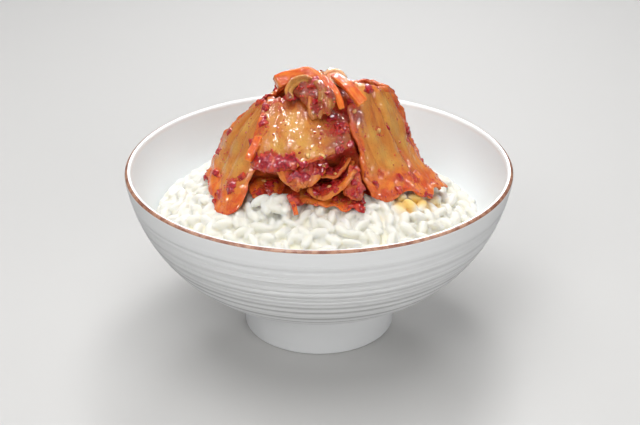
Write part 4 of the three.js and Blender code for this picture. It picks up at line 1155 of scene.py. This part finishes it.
def grain_shape():
    """A cooked short grain along Y: plump, slightly bent, with a notch at the germ end."""
    polar, around, faces = ball(12, 7)
    wide = 0.5 * np.abs(np.sin(polar)) ** 0.85
    p = np.stack([wide * np.cos(around), -0.5 * np.cos(polar), wide * np.sin(around)], -1)
    notch = np.exp(-((p[:, 1] - 0.4) ** 2 + (p[:, 0] - 0.3) ** 2) / 0.02)
    p[:, 0] -= 0.12 * notch
    p[:, 2] += 0.16 * p[:, 1] ** 2
    return p, faces[:, [0, 2, 1]]


def ceiling_over_rice(sheets):
    """The lowest leaf above each mm of the rice, as a function of x and y."""
    half = 64
    low = np.full((2 * half, 2 * half), 1e3)
    for sheet in sheets:
        for p in skins(sheet):
            i, j = (p[:, :2] + half).astype(int).T
            np.minimum.at(low, (i, j), p[:, 2])
    wide = np.minimum.reduce([np.roll(low, (dx, dy), (0, 1)) for dx in (-1, 0, 1) for dy in (-1, 0, 1)])
    return lambda x, y: wide[(x + half).astype(int), (y + half).astype(int)]


def grain_places(sheets, rng):
    """Where the grains lie: layers on the mound, a ring along the wall and a few on the kimchi."""
    places = []
    for index, (count, depth) in enumerate(RICE_LAYERS):
        k = np.arange(count) + 0.5
        reach = RICE_EDGE_RADIUS - RICE_MARGIN - 0.8 * (2 - index)
        r = np.clip(reach * np.sqrt(k / count) + rng.normal(0, 0.4, count), 0, reach)
        angle = k * GOLDEN_ANGLE + index * 1.3 + rng.normal(0, 0.01, count)
        x, y = r * np.cos(angle), r * np.sin(angle)
        lump = layers(np.stack([x, y, x * 0], -1), LUMP_SEED, MOUND_LUMPS) + rng.normal(0, 0.3, count)
        places.append(np.stack([x, y, rice_height(x, y) + depth + lump], -1))
    angle = (np.arange(WALL_GRAINS) + rng.uniform(-0.25, 0.25, WALL_GRAINS)) / WALL_GRAINS * TAU
    r = rng.normal(WALL_GRAINS_RADIUS, 0.25, WALL_GRAINS)
    x, y = r * np.cos(angle), r * np.sin(angle)
    z = rice_height(x, y) - 0.8 + rng.normal(0, 0.3, WALL_GRAINS)
    x, y, z = np.vstack([*places, np.stack([x, y, z], -1)]).T
    # under the leaves the grains lie lower, and under the heap there are none
    lowered = np.minimum(z, ceiling_over_rice(sheets)(x, y) - CLEAR)
    middle, wide, front, behind = HEAP_FOOT
    under_heap = ((x - middle) / wide) ** 2 + (y / np.where(y < 0, front, behind)) ** 2 < 1
    keep = (z - lowered < MOST_PUSHED) & ~under_heap
    return np.vstack([np.stack([x, y, lowered], -1)[keep], np.array(LOOSE_GRAINS)[:, :3]])


def rice_core():
    """The mound under the loose grains, down to the bowl's wall."""
    bottom = inner_wall(np.linspace(WALL_START, 0.68, 24), 0.02)
    floor_z = inner_wall(WALL_START)[1] - 0.08
    radii = bottom[-1][0] * np.linspace(1, 0, 46)[1:-1]
    profile = np.vstack([[(AXIS_GAP, floor_z)], bottom, np.stack([radii, radii * 0], -1), [(AXIS_GAP, 0)]])
    points, faces = lathe(profile, CORE_SEGMENTS)
    top = points[len(bottom) + 1:]
    x, y = top[..., 0], top[..., 1]
    lumps = layers(np.stack([x, y, x * 0], -1), LUMP_SEED, MOUND_LUMPS, CORE_LUMPS)
    top[..., 2] = rice_height(x, y) - CORE_DEPTH + lumps
    return points.reshape(-1, 3), faces


def add_rice(material, sheets):
    """Loose grains, fused a little where they touch, on the mound under them."""
    rng = np.random.default_rng(17)
    places = grain_places(sheets, rng)
    count = len(places)
    x, y = places[:, 0], places[:, 1]
    slope = [rice_height(x - 1, y) - rice_height(x + 1, y), rice_height(x, y - 1) - rice_height(x, y + 1)]
    up = unit(np.stack([*slope, np.full(count, 2.0)], -1))
    heading = rng.uniform(0, TAU, count)
    along_wall = np.arctan2(y, x) + rng.normal(0, 0.2, count)
    heading = np.where(np.hypot(x, y) > WALL_GRAINS_RADIUS - 1.2, along_wall, heading)
    heading[-len(LOOSE_GRAINS):] = np.radians(np.array(LOOSE_GRAINS)[:, 3] - 90)
    turn = spin((0, 0, 1), heading)
    pitch = spin((1, 0, 0), rng.normal(0, 0.22, count))
    roll = spin((0, 1, 0), rng.uniform(0, TAU, count))
    size = np.stack([rng.normal(1, 0.07, count) * GRAIN_WIDTH,
                     rng.normal(1, 0.09, count) * GRAIN_LENGTH,
                     rng.normal(1, 0.07, count) * GRAIN_WIDTH * 0.88], -1)
    shape, faces = grain_shape()
    points, faces = copies(shape * size[:, None], faces, lean_to(up) @ turn @ pitch @ roll, places)
    core, core_faces = rice_core()
    piece = make_object("rice_real", np.vstack([points, core]), [faces, core_faces + len(points)],
                        material, stands_for="rice")
    melt(piece, RICE_VOXEL, 1, RICE_TRIANGLES)
    place = np.empty(len(piece.data.vertices) * 3, np.float32)
    piece.data.vertices.foreach_get("co", place)
    x, y, z = place.reshape(-1, 3).T / MM
    # how deep each point lies, for the painted light between the grains
    deep = smooth(0.5, 2.8, rice_height(x, y) - z)
    juice = 0 * x
    for jx, jy, radius, strength in JUICE:
        juice = np.maximum(juice, strength * smooth(1.4, 0.3, np.hypot(x - jx, y - jy) / radius))
    set_masks(piece.data, {"stain_and_shade": juice * (0.8 + 0.2 * deep), "tone_and_light": deep})


# ------------ the heap under the leaves

BED_MIDDLE = (1.0, 1.0, 50.0)
BED_REACH = (27, 19, 29)
BED_CLEAR = 2.0
BED_LEAST = 4.0
BED_ROWS = 110
BED_COLUMNS = 170


def room_inside(sheets, rays):
    """How far each ray from the bed's middle runs before it meets a leaf, in mm."""
    points, faces, start = [], [], 0
    for sheet in sheets:
        rows, columns = sheet["half"].shape
        points.append(sheet["middle"].reshape(-1, 3))
        faces.append(grid_faces(rows - 1, columns - 1) + start)
        start += rows * columns
    tree = BVHTree.FromPolygons(np.vstack(points).tolist(), np.vstack(faces).tolist())
    middle = Vector(BED_MIDDLE)
    room = np.array([tree.ray_cast(middle, Vector(ray))[3] or 0.0 for ray in rays.reshape(-1, 3)])
    room = room.reshape(rays.shape[:-1])
    # slits between the leaves take the room of their neighbours
    for _ in range(40):
        near = np.stack([np.roll(room, shift, axis) for axis in (0, 1) for shift in (-1, 1)])
        known = (near > 0).sum(0)
        mean = near.sum(0) / np.maximum(known, 1)
        room = np.where((room == 0) & (known > 0), mean, room)
    for _ in range(3):
        for axis in (0, 1):
            near = [np.roll(room, shift, axis) for shift in (-1, 0, 1)]
            room = 0.5 * np.minimum.reduce(near) + 0.5 * sum(near) / 3
    return room


def add_bed(material, sheets):
    """The heap inside: a lumpy mass that fills the room up to the leaves. Its dark red is partly the chilli
    of the kimchi and partly painted shade for the gaps it shows through, darker still in its hollows.
    """
    polar = np.linspace(0.02, math.pi * 0.6, BED_ROWS + 1)
    around = np.arange(BED_COLUMNS) / BED_COLUMNS * TAU
    p, a = np.meshgrid(polar, around, indexing="ij")
    rays = np.stack([np.sin(p) * np.cos(a), np.sin(p) * np.sin(a), np.cos(p)], -1)
    reach = 1 / np.linalg.norm(rays / BED_REACH, axis=-1)
    reach = np.minimum(reach, np.maximum(room_inside(sheets, rays) - BED_CLEAR, BED_LEAST))
    points = rays * reach[..., None] + BED_MIDDLE
    fold = 1 - np.abs(noise(points, 7.0, 91)) * 2
    fine = 1 - np.abs(noise(points, 3.0, 92)) * 2
    relief = 0.9 * fold + 0.5 * fine + 0.2 * noise(points, 1.2, 93) - 0.6
    points = (points + rays * relief[..., None]).reshape(-1, 3)
    # both ends close with a fan round one more point
    count = len(points)
    points = np.vstack([points, points[:BED_COLUMNS].mean(0), points[-BED_COLUMNS:].mean(0)])
    j = np.arange(BED_COLUMNS)
    k = (j + 1) % BED_COLUMNS
    last = count - BED_COLUMNS
    fans = np.vstack([np.stack([j * 0 + count, j, k], -1),
                      np.stack([j * 0 + count + 1, last + k, last + j], -1)])
    # painted shade: more chilli film and darker skin in the hollows of the relief, and dark all over for
    # the gaps between the leaves
    stain_and_shade = np.concatenate([0.85 - 0.5 * fold.ravel(), [0.8, 0.8]])
    masks = dict.fromkeys(MASKS, 0 * stain_and_shade) | {"stain_and_shade": stain_and_shade, "haze_and_shade": stain_and_shade * 0.8, "tone_and_light": 0 * stain_and_shade + 0.7}
    walls = tube_faces(BED_ROWS, BED_COLUMNS)[:, [0, 3, 2, 1]]
    make_object("kimchi_bed_real", points, [walls, fans], material, masks, points,
                "kimchi_bed")


# ------------ chilli

PASTE_VOXEL = 0.24
PASTE_TRIANGLES = 90000
# The smallest and largest half width of a lump of paste, and how many lumps make up one blob
LUMP_SIZE = (0.28, 0.75)
LUMPS = 2.8
# Clumps that lie on no leaf, by the carrot shred: x, y, z, radius in mm, lumps
LOOSE_CLUMPS = [(-8.6, -22.6, 53.8, 1.2, 16), (-6.8, -22.7, 53.2, 1.1, 12), (-7.5, -23.9, 51.9, 0.6, 8)]
# How many flakes and seeds there are for each square mm
FLAKE_SHARE = 0.34
SEED_SHARE = 0.0025


def scatter(name, places, normals, sizes, material, rng, rough, detail=(7, 4)):
    """Many small lumps in one piece, each squashed along the skin that it lies on."""
    polar, around, faces = ball(*detail, twist=0.5)
    ring = np.sin(polar)
    shape = np.stack([ring * np.cos(around), ring * np.sin(around), -np.cos(polar)], -1)
    count = len(places)
    turn = spin((0, 0, 1), rng.uniform(0, TAU, count))
    uneven = 1 + rough * rng.uniform(-1, 1, (count, len(shape), 1))
    points, faces = copies(shape * uneven * sizes[:, None], faces, lean_to(normals) @ turn, places)
    return make_object(name, points, faces, material)


def cell(sheet, u, v):
    """The row and the column of a sheet's grid at u down and v across."""
    rows, columns = sheet["u"].shape
    i = np.searchsorted(sheet["u"][:, 0], np.clip(u, 0, 1))
    j = np.searchsorted(sheet["v"][0], np.clip(v, 0, 1))
    return np.minimum(i, rows - 1), np.minimum(j, columns - 1)


def on_skin(sheet, u, v):
    """Places and normals on the outer skin of a sheet."""
    at = cell(sheet, u, v)
    normal = sheet["normal"][at]
    return sheet["middle"][at] + normal * sheet["half"][at][:, None], normal


def add_paste(leaves, sheets, material, rng):
    """Clumps of chilli paste: lumps that are melted into one another."""
    places, normals, sizes = [], [], []
    for name, leaf in leaves.items():
        length, width = leaf_size(leaf)
        for cu, cv, radius, blobs in leaf["clumps"]:
            count = int(blobs * LUMPS)
            far = np.abs(rng.normal(0, 0.6, count)) * radius
            turn = rng.uniform(0, TAU, count)
            u = cu + far * np.sin(turn) / length
            v = cv + far * np.cos(turn) * 1.2 / width
            place, normal = on_skin(sheets[name], u, v)
            size = rng.uniform(*LUMP_SIZE, count)
            heap = rng.uniform(-0.2, 0.8, count) * smooth(1.3 * radius, 0, far) * min(1, radius / 1.5)
            places.append(place + normal * heap[:, None])
            normals.append(unit(normal + 0.5 * rng.normal(0, 1, normal.shape)))
            flat = rng.uniform(0.45, 0.8, count)
            sizes.append(np.stack([size * rng.uniform(1.0, 1.9, count), size, size * flat], -1))
    for x, y, z, radius, count in LOOSE_CLUMPS:
        normal = unit(rng.normal(0, 1, (count, 3)) + [0, -1, 0.5])
        places.append(np.array([x, y, z]) + normal * radius * rng.uniform(0.2, 1, (count, 1)))
        normals.append(normal)
        size = rng.uniform(*LUMP_SIZE, count)
        sizes.append(np.stack([size * 1.4, size, size * 0.7], -1))
    piece = scatter("chilli_paste", np.vstack(places), np.vstack(normals), np.vstack(sizes), material,
                    rng, 0.35)
    melt(piece, PASTE_VOXEL, 4, PASTE_TRIANGLES)


def skin_places(sheets, share, rng):
    """Random places on all sheets, `share` for each square mm, more of them in the chilli."""
    found = []
    for sheet in sheets.values():
        count = int(share * sheet["area"] * 3)
        u, v = rng.uniform(0.02, 0.98, (2, count))
        keep = rng.uniform(0, 1, count) < 0.03 + 0.9 * sheet["stain_and_shade"][cell(sheet, u, v)]
        found.append(on_skin(sheet, u[keep], v[keep]))
    return found


def add_flakes(sheets, material, rng):
    places, normals = map(np.vstack, zip(*skin_places(sheets, FLAKE_SHARE, rng)))
    normals = unit(normals + 0.35 * rng.normal(0, 1, normals.shape))
    size = rng.uniform(0.1, 0.34, len(places))
    sizes = np.stack([size * rng.uniform(1, 1.9, len(places)), size, 0.08 + 0.35 * size], -1)
    scatter("chilli_flakes", places + normals * 0.05, normals, sizes, material, rng, 0.3,
            (5, 3))


def add_seeds(sheets, material, rng):
    seen = [on_skin(sheets[name], np.array([u]), np.array([v])) for name, u, v in SEEN_SEEDS]
    places, normals = map(np.vstack, zip(*seen, *skin_places(sheets, SEED_SHARE, rng)))
    normals = unit(normals + 0.3 * rng.normal(0, 1, normals.shape))
    size = rng.uniform(0.75, 0.95, len(places))
    sizes = np.stack([size * 1.15, size, size * 0.35], -1)
    scatter("chilli_seeds", places + normals * 0.15, normals, sizes, material, rng, 0.05)


# ------------ studio

FLOOR_REACH = 3.0
AIM = Vector((0, 0, 0.05))
# Name, place and size in metres, and power. Softboxes light dull skin, glints only show in gloss.
SOFTBOXES = (
    ("top_softbox", (-0.1, -0.05, 0.85), (0.75, 0.6), 4.4),
    ("front_fill", (0.45, -0.95, 0.4), (0.6, 0.5), 2.5),
    ("key", (-0.3, -0.62, 0.62), (0.3, 0.3), 1.6),
    ("back_light", (0.1, 0.35, 0.75), (0.2, 0.2), 1.6))
CREST_GLINT = ("crest_glint", (0.05, 0.9, 0.52), (0.3, 0.14), 9.0)
SPARKLE_PLACES = ((0.75, -0.35, 0.5), (0.5, -0.6, 0.65), (-0.75, -0.35, 0.5), (-0.55, -0.6, 0.65),
                  (-0.12, 0, 0.9), (-0.4, 0.3, 0.7), (0.4, 0.3, 0.7),
                  (0.05, 0.5, 0.8), (-0.2, -0.35, 0.85))
SPARKLE_SIZE = 0.08
SPARKLE_POWER = 2.2
WORLD_COLOUR = (240, 240, 242)
WORLD_STRENGTH = 0.27


def add_to_scene(name, data):
    holder = bpy.data.objects.new(name, data)
    bpy.context.scene.collection.objects.link(holder)
    return holder


def add_floor():
    mesh = bpy.data.meshes.new("floor")
    corners = [(x * FLOOR_REACH, y * FLOOR_REACH, 0) for x, y in ((-1, -1), (1, -1), (1, 1), (-1, 1))]
    mesh.from_pydata(corners, [], [(0, 1, 2, 3)])
    mesh.materials.append(Nodes("studio_floor").done(Base_Color=(205, 204, 202), Roughness=0.75))
    piece = add_to_scene("floor", mesh)
    piece.visible_glossy = False


def add_light(name, place, size, power, glint):
    """A light that faces the object: a softbox, or a glint that only gloss shows."""
    light = bpy.data.lights.new(name, "AREA")
    light.shape = "RECTANGLE"
    light.size, light.size_y = size
    light.energy = power
    holder = add_to_scene(name, light)
    holder.location = place
    holder.rotation_euler = (AIM - Vector(place)).to_track_quat("-Z", "Y").to_euler()
    holder.visible_glossy = glint
    holder.visible_diffuse = not glint


def add_lights():
    for softbox in SOFTBOXES:
        add_light(*softbox, glint=False)
    for index, place in enumerate(SPARKLE_PLACES):
        add_light("sparkle_%d" % index, place, (SPARKLE_SIZE, SPARKLE_SIZE), SPARKLE_POWER, glint=True)
    add_light(*CREST_GLINT, glint=True)


def add_world():
    world = bpy.data.worlds.new("studio")
    world.use_nodes = True
    background = world.node_tree.nodes["Background"]
    background.inputs["Color"].default_value = colour(WORLD_COLOUR)
    background.inputs["Strength"].default_value = WORLD_STRENGTH
    bpy.context.scene.world = world


def add_camera():
    camera = bpy.data.cameras.new("camera")
    camera.lens = CAMERA_LENS
    camera.sensor_width = CAMERA_SENSOR
    camera.clip_start = 0.01
    holder = add_to_scene("camera", camera)
    holder.location = [c * MM for c in CAMERA_PLACE]
    holder.rotation_euler = (math.pi / 2 - CAMERA_PITCH, 0, 0)
    bpy.context.scene.camera = holder


# ------------ assembly


def build():
    add_camera()
    add_world()
    add_floor()
    add_lights()
    bpy.context.scene.view_settings.view_transform = "Standard"

    cabbage = kimchi_material("kimchi_leaf", CABBAGE)
    stained = kimchi_material("kimchi_red", STAINED)
    pale = kimchi_material("kimchi_pale", PALE)
    heart = kimchi_material("kimchi_heart", HEART)
    carrot = carrot_material()
    flake = shiny_material("chilli_flakes", 1.5, (176, 24, 20), (222, 66, 30))
    seed = shiny_material(
        "chilli_seeds", 1.2, (214, 138, 60), (238, 192, 112),
        Subsurface_Weight=0.3, Subsurface_Radius=(1.0, 0.6, 0.3), Subsurface_Scale=0.8 * MM)

    leaves = {name: full_leaf(leaf) for name, leaf in (LEAVES | CURL).items()}
    sheets = {name: leaf_sheet(leaf) for name, leaf in leaves.items()}
    for name in LEAVES:
        if name.startswith("fold"):
            add_sheets(name, [sheets[name]], stained)
        else:
            add_sheets(name, [sheets[name]], pale if name == "leaf_tip" else cabbage)
    add_sheets("leaf_curl", [sheets[name] for name in CURL], heart)
    add_bed(stained, [sheets[name] for name in LEAVES])
    for name, strip in STRIPS.items():
        add_strip(name, strip, carrot)
    add_bowl(glaze_material())
    add_rice(rice_material(), sheets.values())
    rng = np.random.default_rng(5)
    add_paste(leaves, sheets, paste_material(), rng)
    add_flakes(sheets, flake, rng)
    add_seeds(sheets, seed, rng)


build()
